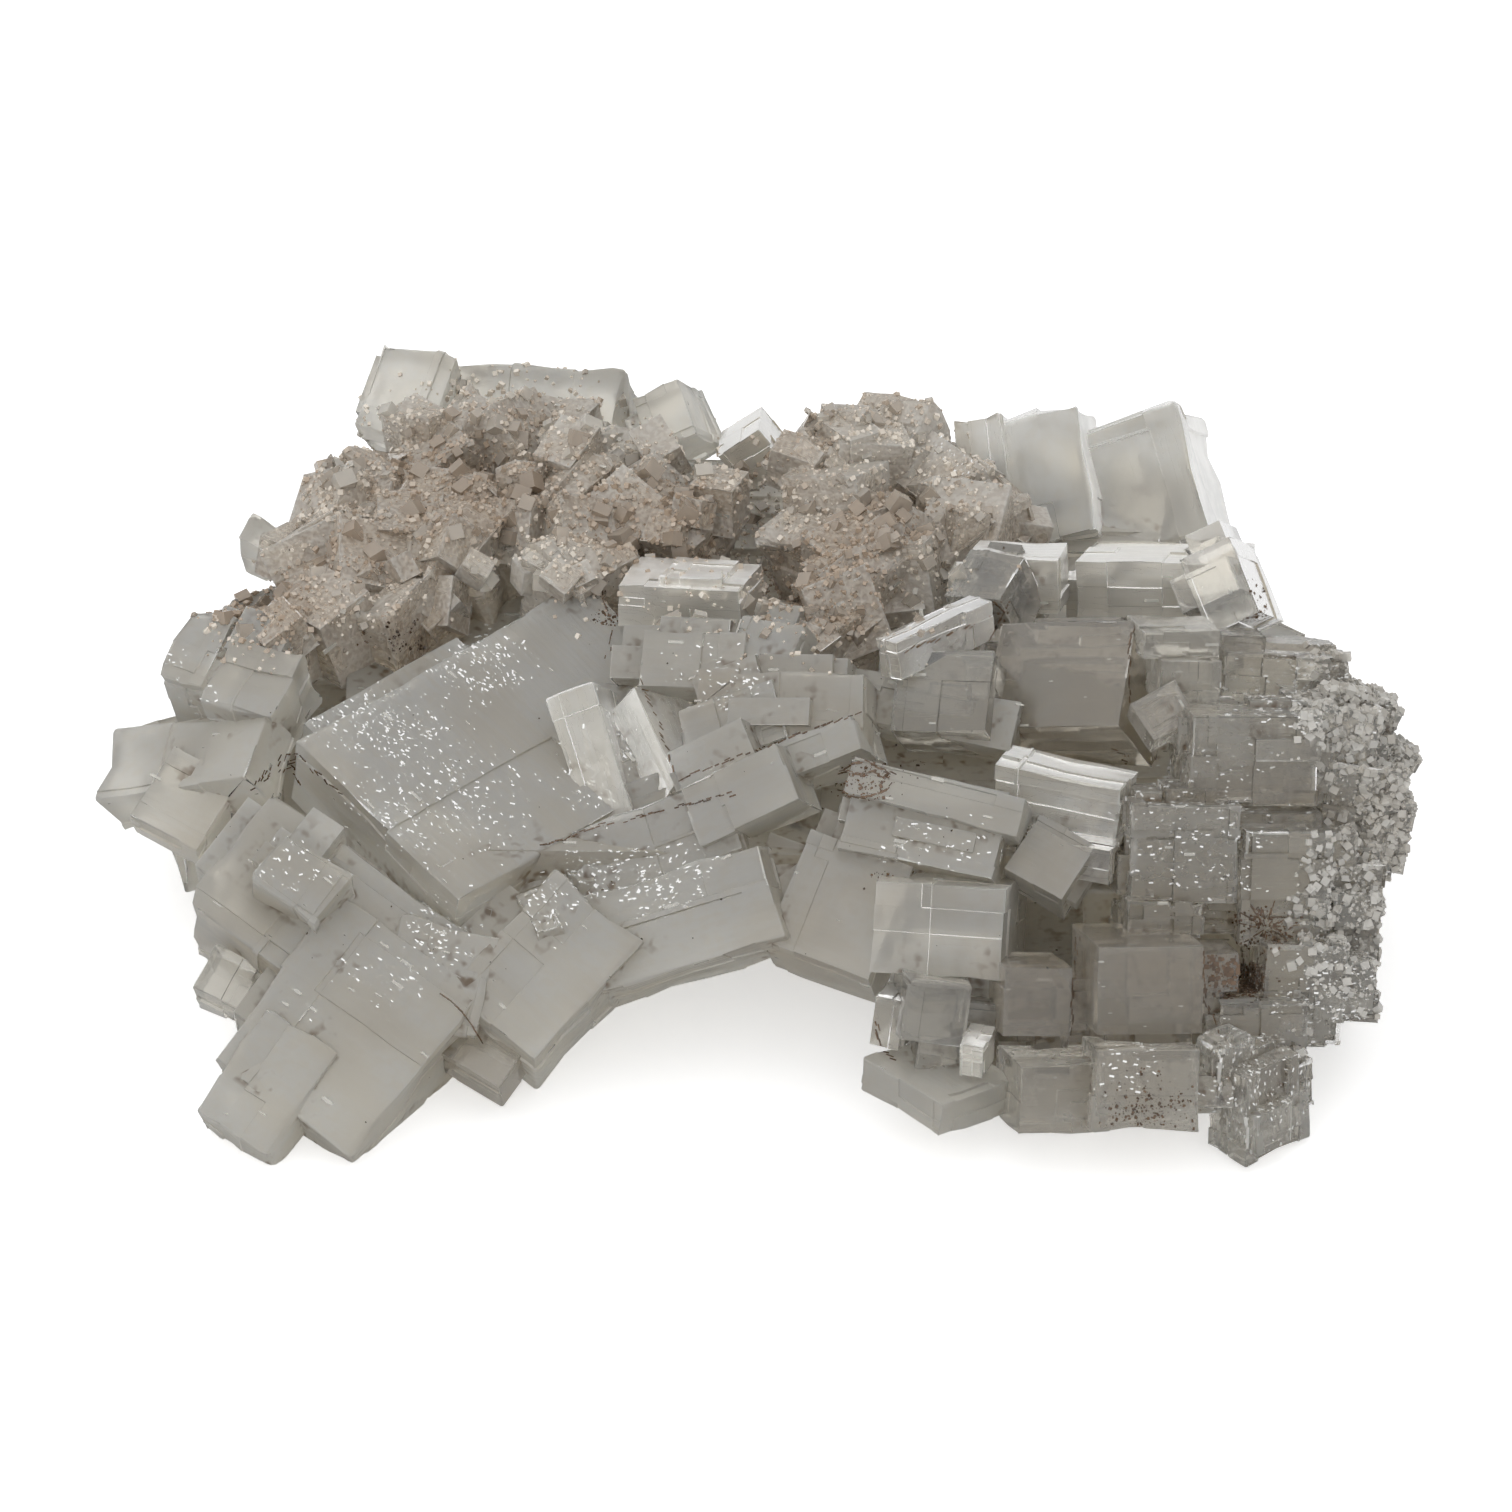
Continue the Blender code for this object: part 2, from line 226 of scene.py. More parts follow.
world = bpy.data.worlds.new("studio")
bpy.context.scene.world = world
world.use_nodes = True
world.cycles.sampling_method = "NONE"  # light this soft is found by the bounces alone
sky_tree = world.node_tree
background = filled(sky_tree, sky_tree.nodes["Background"], {"Color": WHITE})
for_camera(sky_tree, soft_sky(sky_tree, BRIGHT_WAY, *AMBIENT), BACKDROP, background.inputs["Strength"])
bpy.context.scene.cycles.max_bounces = BOUNCES
bpy.context.scene.view_settings.view_transform = "Standard"
print("floor and sky ready, with light from", BRIGHT_WAY)

# %% [markdown]
# ## Where every cube is
#
# Each row names a cube and gives its nearest corner (u, v, w) in mm, the directions its edges take in
# front view in degrees, and their lengths in mm. They are the values of the solid model, save that a
# few cubes are moved in depth or a little longer, so that faces lie flush, and that four are added.

# %% The layout of the cluster
CRYSTALS = [
    # the left lobe
    ("far_left", (-76.7, -3.3, 62), (188, 72, -45), (30, 13, 9)),
    ("far_left_low", (-84, -14.3, 58), (152, 58, -75), (12, 13, 8)),
    ("left_cap", (-83.4, 9.9, 50), (165, 62, -65), (9, 14, 15)),
    ("left_slab", (-44.4, -21.6, 84), (136, 30, -97), (38.5, 56, 13)),
    ("long_upper", (-53.7, -44.4, 86), (145, 52, -82), (40, 22, 26)),
    ("long_lower", (-60, -60, 92), (145, 52, -82), (27, 33, 24)),
    ("long_raised", (-65.7, -25.4, 87), (145, 52, -82), (13, 10, 14)),
    ("left_foot", (-72.4, -60, 92), (148, 55, -80), (14, 20, 14)),
    ("long_end", (-41.7, -42.6, 86), (168, 76, -60), (16, 17, 16)),
    ("grey_cube", (-77.4, -38.1, 76), (155, 62, -75), (8, 8, 10)),
    ("dark_stub", (-38.4, -49.5, 84), (150, 55, -80), (11, 9, 8)),
    ("lower_mid", (-33, -46, 87), (140, 48, -85), (18, 25, 17)),
    ("bridge", (4.4, -26.9, 86), (197, 105, -29), (33, 15, 16)),
    ("bridge_top", (-1.6, -14, 80.5), (200, 108, -28), (38, 12, 20)),
    ("strip_a", (-11.7, -3.9, 72.5), (115, 232, -8), (20, 10, 12)),
    ("strip_b", (-17.4, -11.9, 71), (107, 200, -28), (25, 8, 15)),
    ("left_fill", (-72.9, 5.4, 58), (165, 62, -68), (13, 13, 13)),
    # the centre
    ("centre_low", (16.8, -33.5, 86), (160, 68, -68), (17, 19, 16)),
    ("centre_block", (37.3, -19.8, 90), (176, 267, 40), (20, 14, 26)),
    ("hopper_plate", (38.7, -11.9, 88), (166, 74, -60), (27, 6, 16)),
    ("hopper_step", (35.1, -18.6, 87), (168, 76, -58), (24, 9, 16)),
    ("seam_low", (6.6, -6.6, 84), (205, 112, -25), (17, 10, 14)),
    ("seam_top", (15.9, 0.9, 79), (202, 108, -28), (22, 6, 14)),
    ("centre_side", (45.6, -21.6, 84), (150, 58, -80), (10, 10, 12)),
    ("centre_flat", (15.9, 2.4, 76), (180, 87, -47), (21, 10.5, 14)),
    ("seam_back", (5, 2.7, 75), (200, 105, -28), (16, 10, 14)),
    ("pale_lump", (5.1, 12.9, 68), (172, 70, -60), (11, 9, 10)),
    ("mid_block", (-2.4, 24.9, 54), (177, 272, 50), (19.5, 7, 14)),
    ("mid_cap", (-5, 26.7, 52), (178, 273, 48), (10, 4, 10)),
    ("mid_under", (-2.4, 9.9, 66), (178, 84, -50), (16, 9, 12)),
    ("bar", (20.9, 17, 72), (165, 278, 24), (5, 6.5, 20)),
    ("bar_under", (34.4, 3.2, 72), (178, 84, -50), (15, 13, 12)),
    ("bar_end", (36.6, 23.4, 58), (175, 60, -65), (10, 10, 10)),
    ("flake", (-33, -26.5, 84), (120, 20, -80), (9.5, 5, 4)),
    ("hopper_back", (38, 0.5, 69), (168, 76, -58), (28, 8, 16)),
    # the right lobe, from its upper end down to its foot
    ("dark_cube", (54.3, 4.4, 72), (181, 80, -50), (22.5, 18, 16)),
    ("dark_ledge", (54.6, -5.1, 84), (168, 265, 50), (20, 9, 8)),
    ("ledge_low", (53, -14, 84), (170, 267, 50), (15, 6, 10)),
    ("turned_cube", (59.4, 2.1, 77), (122, 30, -104), (7, 8, 8)),
    ("small_dark", (60.6, 14.4, 74), (0, -92, 135), (9.5, 7, 12)),
    ("bar_right", (58, 18.6, 72), (1, -91.5, 135), (12, 4.5, 12)),
    ("upper_right", (72.3, 29.1, 48), (179, 272, 45), (25, 9, 15)),
    ("right_horn", (75.9, 21.6, 52), (112, 205, -20), (13, 9, 14)),
    ("upper_mid", (45.6, 29.4, 50), (178, 271, 60), (14, 9, 10)),
    ("bench_a", (56, -7.3, 88), (0, -92, 135), (17, 15, 18)),
    ("bench_b", (65, 6, 82), (0, -92, 135), (20, 14, 18)),
    ("bench_c", (72.6, -11, 86), (0, -92, 135), (14, 18, 18)),
    ("bench_d", (80, 8.4, 74), (-5, -97, 130), (14, 16, 18)),
    ("bench_e", (86, -0.6, 74), (-8, -101, 125), (13, 18, 16)),
    ("bench_f", (81.6, -15.6, 80), (-2, -94, 133), (13, 16, 18)),
    ("bench_g", (76, -27.6, 88), (-2, -94, 133), (13, 16, 18)),
    ("bench_h", (69, -36.6, 92), (1, -91.5, 135), (14, 9, 16)),
    ("bench_i", (81.6, -34.4, 82), (-3, -95, 130), (12, 5.5, 14)),
    ("bench_j", (55.4, -21.6, 87), (0, -92, 135), (12, 6, 14)),
    ("bench_k", (70.4, 16, 64), (-3, -95, 132), (19, 9, 16)),
    ("bench_l", (88, 10, 66), (-24, -116, 110), (10, 13, 14)),
    ("bench_m", (95.2, 1.8, 66), (-30, -122, 105), (5.5, 9, 12)),
    ("bench_n", (92.4, -6, 72), (-10, -101, 125), (7, 11.5, 14)),
    ("front_cube", (50.9, -28.4, 97), (1, -91, 138), (16.2, 13.5, 20)),
    ("front_left", (37, -31.5, 93), (0, -92, 140), (10.5, 10.5, 14)),
    ("grey_step", (22.6, -33.1, 94), (-6, -98, 128), (10.5, 10, 14)),
    ("pad", (22.4, -36.6, 90), (168, 262, 45), (5, 8, 10)),
    ("tan_cube", (34, -43.5, 95), (170, 268, 60), (4.2, 6, 7)),
    ("low_bench", (27.6, -52, 98), (148, 20, -95), (18, 15.6, 6)),
    ("foot_block", (39, -45.9, 98.5), (1, -92, 135), (15, 11, 14)),
    ("foot_round", (50.1, -43.3, 101), (0, -91, 137), (16.5, 12.8, 14)),
    ("prism_a", (73, -47.9, 98), (-90, 150, 25), (16, 9, 13)),
    ("prism_b", (79, -47, 92), (-88, 152, 28), (9, 6, 6)),
    ("prism_c", (69, -44, 99), (-93, 147, 22), (11, 6, 7)),
    # the pale crystals along the back
    ("pale_a", (69.5, 34, 12), (106, 198, -30), (21.5, 17, 20)),
    ("pale_b", (52.4, 33.7, 14), (100, 192, -35), (21, 14, 20)),
    ("pale_c", (39.6, 35.4, 13), (98, 190, -38), (18, 8, 18)),
    ("pale_d", (-50.4, 47.4, -5), (165, 70, -60), (13, 15, 15)),
    ("pale_e", (-21.9, 47.4, -5), (178, 82, -48), (28, 13, 13)),
    ("pale_f", (-8.4, 48.9, -4), (203, 110, -25), (9, 10.5, 14)),
    ("pale_tip", (-74.2, 30.6, 25), (155, 58, -80), (6, 6, 12)),
    ("smoky", (0.2, 49.5, 15), (213, -50, 80), (8, 8, 9)),
    # the blocks that the crust of small cubes grows on
    ("druse_a", (21.6, 45, 22), (178, 60, -60), (15, 15, 15)),
    ("druse_b", (14, 29.4, 42), (170, 50, -70), (18, 18, 18)),
    ("druse_c", (29, 29.4, 40), (160, 40, -80), (14, 14, 14)),
    ("druse_d", (9.6, 17.4, 60), (150, 30, -90), (14, 14, 14)),
    ("druse_e", (-42.9, 45.9, 10), (150, 35, -88), (14, 14, 14)),
    ("druse_f", (-32.4, 45, 12), (165, 45, -72), (16, 16, 16)),
    ("druse_g", (-20.4, 38.4, 22), (175, 60, -60), (17, 17, 17)),
    ("druse_h", (-53.4, 38.4, 20), (140, 20, -100), (15, 15, 15)),
    ("druse_i", (-62.4, 32.4, 28), (155, 35, -85), (12, 12, 12)),
    ("druse_j", (-42.9, 29.4, 38), (165, 50, -70), (18, 18, 18)),
    ("druse_k", (-26.4, 24.9, 48), (150, 30, -90), (14, 14, 14)),
    ("druse_l", (-11.4, 32.4, 36), (170, 55, -65), (14, 14, 14)),
    ("druse_m", (-56.4, 20.4, 48), (160, 45, -75), (16, 16, 16)),
    ("druse_n", (-71.4, 17.4, 46), (150, 30, -90), (13, 13, 13)),
    ("druse_o", (-63.9, 39.5, 14), (150, 40, -85), (8, 8, 8)),
    ("druse_p", (11, 43, 24), (165, 60, -62), (12, 12, 12)),
    ("druse_q", (34.4, 35.4, 28), (150, 35, -85), (12, 12, 12)),
    ("druse_r", (-69, 26.5, 30), (155, 38, -82), (9, 9, 12)),
    ("druse_s", (-28, 36, 31), (165, 50, -70), (14, 14, 14)),
    ("druse_t", (16, 25, 51), (155, 40, -80), (13, 13, 14)),
]

# Blocks in the world frame that make the cluster solid right through: name, lowest corner, highest
# corner, turn about +Z in degrees.
CORES = [
    ("core_back", (-62, -54, -6), (64, 18, 33), 1.0),
    ("core_left", (-80, -58, -6), (-52, -12, 23), 3.0),
    ("core_left_front", (-75, -95, -6), (-54, -48, 11), -2.0),
    ("core_left_inner", (-60, -79, -6), (-35, -46, 15), 4.0),
    ("core_right", (50, -74, -6), (83, -18, 27), -2.5),
    ("core_right_front", (27, -92, -6), (77, -46, 12), 2.0),
    ("core_arch", (-40, -72, 20), (40, -40, 33), -1.5),
    ("core_ridge", (-62, 8, -6), (62, 33, 33), -0.8),
]

# Crystals on the hidden sides, in the world frame: (name, centre, turn about X, Y and Z, size), mm.
HIDDEN = [
    ("back_a", (-54, 32, 12), (8, 12, 24), (24, 18, 26)),
    ("back_b", (-33, 36, 14), (-6, 20, -12), (26, 16, 24)),
    ("back_c", (-10, 34, 10), (14, -10, 30), (22, 20, 22)),
    ("back_d", (9, 33, 17), (10, 8, 12), (24, 16, 24)),
    ("back_e", (30, 32, 11), (-12, 14, -20), (22, 18, 24)),
    ("back_f", (53, 26, 14), (6, -14, 28), (24, 20, 24)),
    ("back_g", (-70, 4, 12), (10, 12, 40), (20, 18, 22)),
    ("back_h", (70, 0, 12), (-8, 10, 36), (20, 18, 22)),
    ("side_a", (-82, -30, 14), (12, -8, 16), (16, 20, 18)),
    ("side_b", (84, -36, 12), (8, 14, -14), (16, 22, 22)),
    ("side_c", (82, -60, 8), (-10, 8, 20), (14, 18, 16)),
    ("under_a", (-2, -60, 22), (14, 10, 8), (30, 18, 16)),
    ("under_b", (-24, -64, 18), (-8, 16, 30), (20, 18, 16)),
]

# %% [markdown]
# ## Noise from a few waves
#
# Natural surfaces need values that wander smoothly. Instead of a noise library, a handful of sine waves
# in random directions is added up. It works on a whole array of points at once and always gives the
# same answer for the same seed.

# %% Wandering values
WAVES = 9
SPREAD = (0.55, 1.7)  # the waves' pitches, as shares of the usual one
LIFT = 2.2  # the mean of many sines stays near nought, so it is stretched


def wander(points, span, seed):
    """The mean of WAVES sines, sin(k . p + phase), whose wavelengths lie about span: from -1 to 1."""
    dice = np.random.default_rng(seed)
    ways = unit(dice.normal(size=(WAVES, 3)))
    pitch = 2 * np.pi / span * dice.uniform(*SPREAD, WAVES)
    waves = np.sin(points @ (ways * pitch[:, None]).T + dice.uniform(0, 2 * np.pi, WAVES))
    return np.clip(waves.mean(axis=1) * LIFT, -1, 1)


# %% [markdown]
# ## The skin of one cube
#
# A real halite cube is not six flat squares. Its faces carry low rectangular steps where a growth layer
# stopped short, they swell and sink a little, and damp air has rounded its edges. So each cube is a grid
# on the surface of a box. The grid lines bunch up at the edges, to hold the rounding, and on both
# sides of each step, to keep it crisp.

# %% The grid on a box
SNAP = 0.05  # half the width of a step's riser, mm
FINE_EDGE = 0.45  # mm; an edge rounded by less than this is one slanting band
CLEAR_OF_CUT = 0.4  # an even grid line this near a cut, as a share of the spacing, is left out


def stops(length, cuts, spacing, worn):
    """Where the grid lines cross one edge: even, with pairs about each cut and extra ones at the ends."""
    count = max(1, int(round((length - 2 * worn) / spacing)))
    even = np.linspace(worn, length - worn, count + 1)
    even = even[(np.abs(even[:, None] - cuts[None]) > CLEAR_OF_CUT * spacing).all(axis=1)]
    ends = (0, 0.5 * worn, length - 0.5 * worn, length) if worn > FINE_EDGE else (0, length)
    return np.unique(np.concatenate((ends, even, cuts - SNAP, cuts + SNAP)))


def box_grid(counts):
    """The grid points on the surface of a box of counts cells, and its square faces turned outward."""
    shape = tuple(count + 1 for count in counts)
    index = np.indices(shape).reshape(3, -1).T
    outer = ((index == 0) | (index == np.array(counts))).any(axis=1)
    ids = np.full(len(index), -1)
    ids[outer] = np.arange(outer.sum())
    ids = ids.reshape(shape)
    faces = []
    for axis in range(3):
        sheets = np.moveaxis(ids, (axis, (axis + 1) % 3, (axis + 2) % 3), (0, 1, 2))
        for side in (0, -1):
            sheet = sheets[side]
            squares = np.stack((sheet[:-1, :-1], sheet[1:, :-1], sheet[1:, 1:], sheet[:-1, 1:]), -1)
            squares = squares.reshape(-1, 4)
            faces.append(squares if side else squares[:, ::-1])
    return index[outer], np.concatenate(faces)


# %% The skin: rounded edges, steps and swell
WEAR = (0.62, 0.38)  # the share of the wear that is even, and the share that wanders
WEAR_MM = 7.0  # the wavelength of the wear
SWELL_MM = 13.0  # the wavelength of the swell
SWELL_MIDDLE = 0.4  # more of a face sinks than swells
LEVELS = (0, 0, 0, 1, 1, 2)  # how many steps down a block of a face lies; each is as likely


def cube_skin(lengths, seed, worn, step, cuts, swell, spacing):
    """Points and faces of one grown cube with a corner at zero, and each point's place in the box.

    A point p of the box is first rounded: q = clip(p, r, L - r), n = (p - q) / |p - q|, p' = q + r n.
    Each face then sinks by step times a whole number, block by block, and all of it moves along n by
    swell times a wandering value. r itself wanders, because wear is never even."""
    dice = np.random.default_rng(seed)
    lengths = np.array(lengths, float)
    lines = [np.sort(dice.uniform(0.1, 0.9, cuts)) * length for length in lengths]
    marks = [stops(length, line, spacing, worn) for length, line in zip(lengths, lines)]
    index, faces = box_grid([len(mark) - 1 for mark in marks])
    box = np.stack([marks[k][index[:, k]] for k in range(3)], axis=1)
    radius = worn * (WEAR[0] + WEAR[1] * wander(box, WEAR_MM, seed + 1))[:, None]
    inner = np.clip(box, radius, lengths - radius)
    normal = unit(box - inner)
    skin = inner + normal * radius
    cell = [np.searchsorted(lines[k], box[:, k]) for k in range(3)]
    for axis in range(3):
        across, along = (axis + 1) % 3, (axis + 2) % 3
        for side in (-1, 1):
            levels = -step * dice.choice(LEVELS, size=(cuts + 1, cuts + 1))
            facing = np.clip(side * normal[:, axis], 0, 1) ** 2
            skin[:, axis] += side * levels[cell[across], cell[along]] * facing
    skin += normal * (swell * (wander(box, SWELL_MM, seed + 2) - SWELL_MIDDLE))[:, None]
    return skin, faces, box


def mesh_of(name, points, faces, **marks):
    """An object whose mesh holds points, in world mm, and faces of one size.

    Each mark is a value or a vector for every point. It is kept on the face corners, because a
    Boolean works out new corner values where it cuts a face, and leaves point values at nought. The
    one point value, grown, is 1 here, and so it tells the seams between cubes from all the rest."""
    mesh = bpy.data.meshes.new(name)
    mesh.vertices.add(len(points))
    mesh.vertices.foreach_set("co", (np.asarray(points) * MM).astype(np.float32).ravel())
    corners = faces.shape[1]
    mesh.loops.add(faces.size)
    mesh.loops.foreach_set("vertex_index", faces.astype(np.int32).ravel())
    mesh.polygons.add(len(faces))
    mesh.polygons.foreach_set("loop_start", np.arange(0, faces.size, corners, dtype=np.int32))
    mesh.update(calc_edges=True)
    mesh.shade_flat()
    for mark, values in marks.items():
        vector = values.ndim == 2
        layer = mesh.attributes.new(mark, "FLOAT_VECTOR" if vector else "FLOAT", "CORNER")
        values = values[faces.ravel()].astype(np.float32)
        layer.data.foreach_set("vector" if vector else "value", values.ravel())
    grown_points = mesh.attributes.new("grown", "FLOAT", "POINT")
    grown_points.data.foreach_set("value", np.ones(len(points), np.float32))
    return bpy.data.objects.new(name, mesh)


# %% How each kind of cube is finished
# by the cube's name, or the first word of it: worn edge, step height, number of cuts each way, swell
# and grid spacing in mm, then how frosted, streaked, brown and banded it is, each from 0 to 1; a brown
# below nought keeps the stains off
FINISH = {
    "left_slab": (0.7, 0.16, 3, 0.4, 5, 1, 0.8, 0.15, 0),
    "far_left": (1.4, 0.14, 2, 0.7, 5, 0.8, 0.2, 0.1, 0.1),
    "left": (1.9, 0.2, 2, 0.9, 5, 0.9, 0.3, 0.2, 0.1),
    "long": (1.8, 0.2, 2, 0.8, 5, 0.9, 0.3, 0.15, 0.1),
    "flake": (0.8, 0.2, 2, 0.5, 5, 1, 1, 0, 0),
    "grey": (1, 0.2, 1, 0.4, 5, 0.2, 0.2, 0.2, 0),
    "lower": (1.3, 0.2, 2, 0.6, 5, 0.9, 0.6, 0.1, 0),
    "bridge": (0.8, 0.2, 3, 0.5, 5, 0.9, 0.7, 0.1, 0.1),
    "strip": (0.7, 0.2, 2, 0.4, 5, 0.9, 0.8, 0.15, 0.1),
    "seam": (0.7, 0.2, 2, 0.4, 5, 0.8, 0.5, 0.15, 0.1),
    "hopper": (0.6, 0.2, 2, 0.3, 5, 0.9, 0.3, 0, 0.5),
    "centre": (0.4, 0.15, 2, 0.3, 5, 0.5, 0.25, 0.5, 0.2),
    "turned": (0.4, 0.15, 1, 0.2, 5, 0.3, 0.2, 0.5, 1),
    "dark": (0.5, 0.12, 1, 0.3, 5, 0.3, 0.12, 0.7, 0.1),
    "dark_ledge": (0.6, 0.3, 3, 0.3, 5, 0.7, 0.8, 0.5, 0.2),
    "front": (0.4, 0.1, 1, 0.12, 5, 0.2, 0.15, 0.9, 0.3),
    "bench": (0.45, 0.5, 4, 0.3, 5, 0.5, 0.6, 0.6, 0.2),
    "prism": (0.6, 0.4, 4, 0.35, 5, 0.5, 0.8, 0.3, 0.2),
    "foot": (1, 0.2, 1, 0.4, 5, 0.5, 0.3, 0.4, 0.1),
    "low": (0.9, 0.2, 2, 0.4, 5, 0.4, 0.4, 0.3, 0.1),
    "pale": (1.8, 0.25, 2, 0.8, 5, 1, 0.2, -1, 0),
    "druse": (3, 0.5, 1, 2, 4, 0.3, 0.3, 0.7, 0),
    "back": (0.8, 0.4, 3, 0.4, 5, 0.4, 0.4, 0.2, 0.2),
    "side": (0.8, 0.4, 3, 0.4, 5, 0.4, 0.4, 0.2, 0.2),
    "under": (0.8, 0.3, 2, 0.4, 6, 0.4, 0.4, 0.2, 0),
    "core": (0.8, 0.6, 3, 0.5, 12, 0.3, 0.4, 0.4, 0),
}
USUAL = (0.5, 0.18, 2, 0.3, 5.0, 0.3, 0.4, 0.3, 0.2)
OFFSHOOT = (0.35, 0.2, 0, 0.15, 9.0)  # these stand for the first five at every offshoot

MILKY, CLEAR, DRUSE = 0, 1, 2  # the materials of the cluster, by number; most cubes are milky
CLEAR_CUBES = "dark front bench prism foot turned small grey bar ledge pad right".split()
KINDS = {**dict.fromkeys(CLEAR_CUBES, CLEAR), "druse": DRUSE, "dark_ledge": MILKY}


def by_name(table, name, usual):
    """What a table says of a cube: by its whole name, or by the first word of it, or else usual."""
    return table.get(name, table.get(name.split("_")[0], usual))


# %% Where clay has stained the salt
# brown stains in the front view: u, v, half width and half height in mm, and strength
STAINS = (
    (-46, 40, 12, 8, 1), (-73, 23, 9, 7, 1), (-60, 30, 8, 6, 0.7),
    (-14, 36, 12, 7, 1), (12, 27, 11, 9, 1), (20, 36, 7, 5, 0.8),
    (-50, 17, 9, 5, 0.8), (-6, 8, 7, 5, 0.5), (36, 10, 7, 9, 0.4),
)
ZONE_MM = 19.0  # the wavelength of the wandering
ZONE_SEED = 99
STAINED, WANDERING, CLEAN = 1.5, 0.5, 0.25  # how much the stains, the wandering and cleanness count


def patch_density(points, patches):
    """How strongly a point lies in any patch, 0 to 1, by its place in the front view.

    A patch is (u, v, half width, half height, strength), and it fades as exp(-d^4) with d the
    distance from its middle in half widths."""
    seen = to_display(points)
    total = np.zeros(len(seen))
    for u, v, wide, high, strength in patches:
        away = ((seen[:, 0] - u) / wide) ** 2 + ((seen[:, 1] - v) / high) ** 2
        total = np.maximum(total, strength * np.exp(-(away**2)))
    return total


def clay_zone(points):
    """How clayey a place in the world is, from -1, clean, to 1: the stains, and a wandering value."""
    zone = STAINED * patch_density(points, STAINS) + WANDERING * wander(points, ZONE_MM, ZONE_SEED)
    return np.clip(zone - CLEAN, -1, 1)


# %% One cube in its place
FRAMES = []  # the edge directions of each cube in the world, by its number
CLAY_TINT = 0.5
GRAIN_SHIFT = 400  # mm


def grown(name, corner, edges, lengths, seed, offshoot=False):
    """One cube's skin put in its place in the world, with the marks that its material reads.

    near and far are the place in the cube's own frame, from one corner and from the opposite one,
    and cube is its number in FRAMES. grain is near, moved by a different amount for each cube, so
    that no two patterns look alike."""
    worn, step, cuts, swell, spacing, frost, streak, brown, bands = by_name(FINISH, name, USUAL)
    if offshoot:
        worn, step, cuts, swell, spacing = OFFSHOOT
    points, faces, near = cube_skin(lengths, seed, worn, step, cuts, swell, spacing)
    points = np.asarray(corner) + points @ np.asarray(edges).T
    shift = np.random.default_rng(seed + 5).uniform(-GRAIN_SHIFT, GRAIN_SHIFT, 3)
    each = np.ones(len(points))
    FRAMES.append(np.asarray(edges))
    return mesh_of(
        name, points, faces, near=near, far=lengths - near, grain=near + shift,
        frost=each * frost, streak=each * streak, bands=each * bands,
        brown=np.clip(brown + CLAY_TINT * clay_zone(points), 0, 1),
        kind=each * by_name(KINDS, name, MILKY), cube=each * (len(FRAMES) - 1),
    )


# %% [markdown]
# ## Offshoots
#
# No cube of rock salt grows alone. Smaller ones start on its faces and grow in step with it, edges
# parallel, so a cluster is full of ledges, and there is hardly a gap between one cube and the next.
# Each large cube gets some of them: beside its far sides, a little lower than its front faces, and a
# few thin ledges that stand out of the front faces. The blocks of the druse get knobs of any turn
# instead, and a third block where two of them are neighbours. None may stick out of the outline that
# the solid model has from the front, so each corner is tried with a ray.

# %% Smaller cubes in step with each large one
SMALLEST_PARENT = 8.5  # mm, the shortest edge of a cube that gets offshoots
BESIDE = {"bench": 3, "front": 2, "prism": 2, "dark": 2, "centre": 2}  # rounds of offshoots beside
BESIDE_SHARE = (0.35, 0.8)  # an offshoot's edges, as shares of its parent's
BESIDE_DEEP = (1.0, 4.0)  # mm below the parent's front faces
BESIDE_WIDE = (6, 10)
BESIDE_OUT = (1.5, 6.0)  # mm past the parent's far side
LEDGES = {"bench": 3, "prism": 2, "hopper": 1, "centre": 1, "strip": 1, "lower": 1}
LEDGE_SHARE = (0.25, 0.6)
LEDGE_WIDE = 5.0
LEDGE_OUT = (0.5, 1.8)
KNOBS = 5
KNOB_TURN = 35
KNOB_WIDE = (4.5, 9.5)
KNOB_DEEP = 0.12  # how far its middle lies inside the block, as a share of the block
NEIGHBOURS = 21.0  # mm between the middles of two druse blocks that get a third one in between
FILL_TURN = 45
FILL_WIDE = (10, 14)
FILL_UP = (1.0, 4.0)
BEFORE = 0.4  # metres in front of the point, where a ray starts
solid = BVHTree.FromObject(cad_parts["halite_cluster"], bpy.context.evaluated_depsgraph_get())


def in_outline(corner, edges, lengths):
    """Whether all eight corners of a cube lie inside the solid model's outline from the front."""
    points = to_world(np.asarray(corner) + (UNIT_CORNERS * lengths) @ edges.T) * MM
    rays = (solid.ray_cast(Vector(point) - BEFORE * INTO_PICTURE, INTO_PICTURE) for point in points)
    return all(hit[0] is not None for hit in rays)


def knob(corner, edges, lengths, dice):
    """A cube of any turn whose middle lies just inside a face of a druse block."""
    turn = turned(dice.uniform(-KNOB_TURN, KNOB_TURN, 3))
    size = dice.uniform(*KNOB_WIDE) * dice.uniform(0.75, 1.0, 3)
    place = dice.random(3)
    place[dice.integers(3)] = KNOB_DEEP
    return corner + edges @ (place * lengths) - turn @ edges @ (size / 2), turn @ edges, size


def beside(corner, edges, lengths, axis, dice):
    """A cube that stands out past its parent's far side along one axis, and lies lower in front."""
    size = lengths * dice.uniform(*BESIDE_SHARE, 3)
    start = dice.uniform(*BESIDE_DEEP, 3) + dice.random(3) * (lengths - size) * 0.5
    size[axis] = dice.uniform(*BESIDE_WIDE)
    start[axis] = lengths[axis] - size[axis] + dice.uniform(*BESIDE_OUT)
    return corner + edges @ start, edges, size


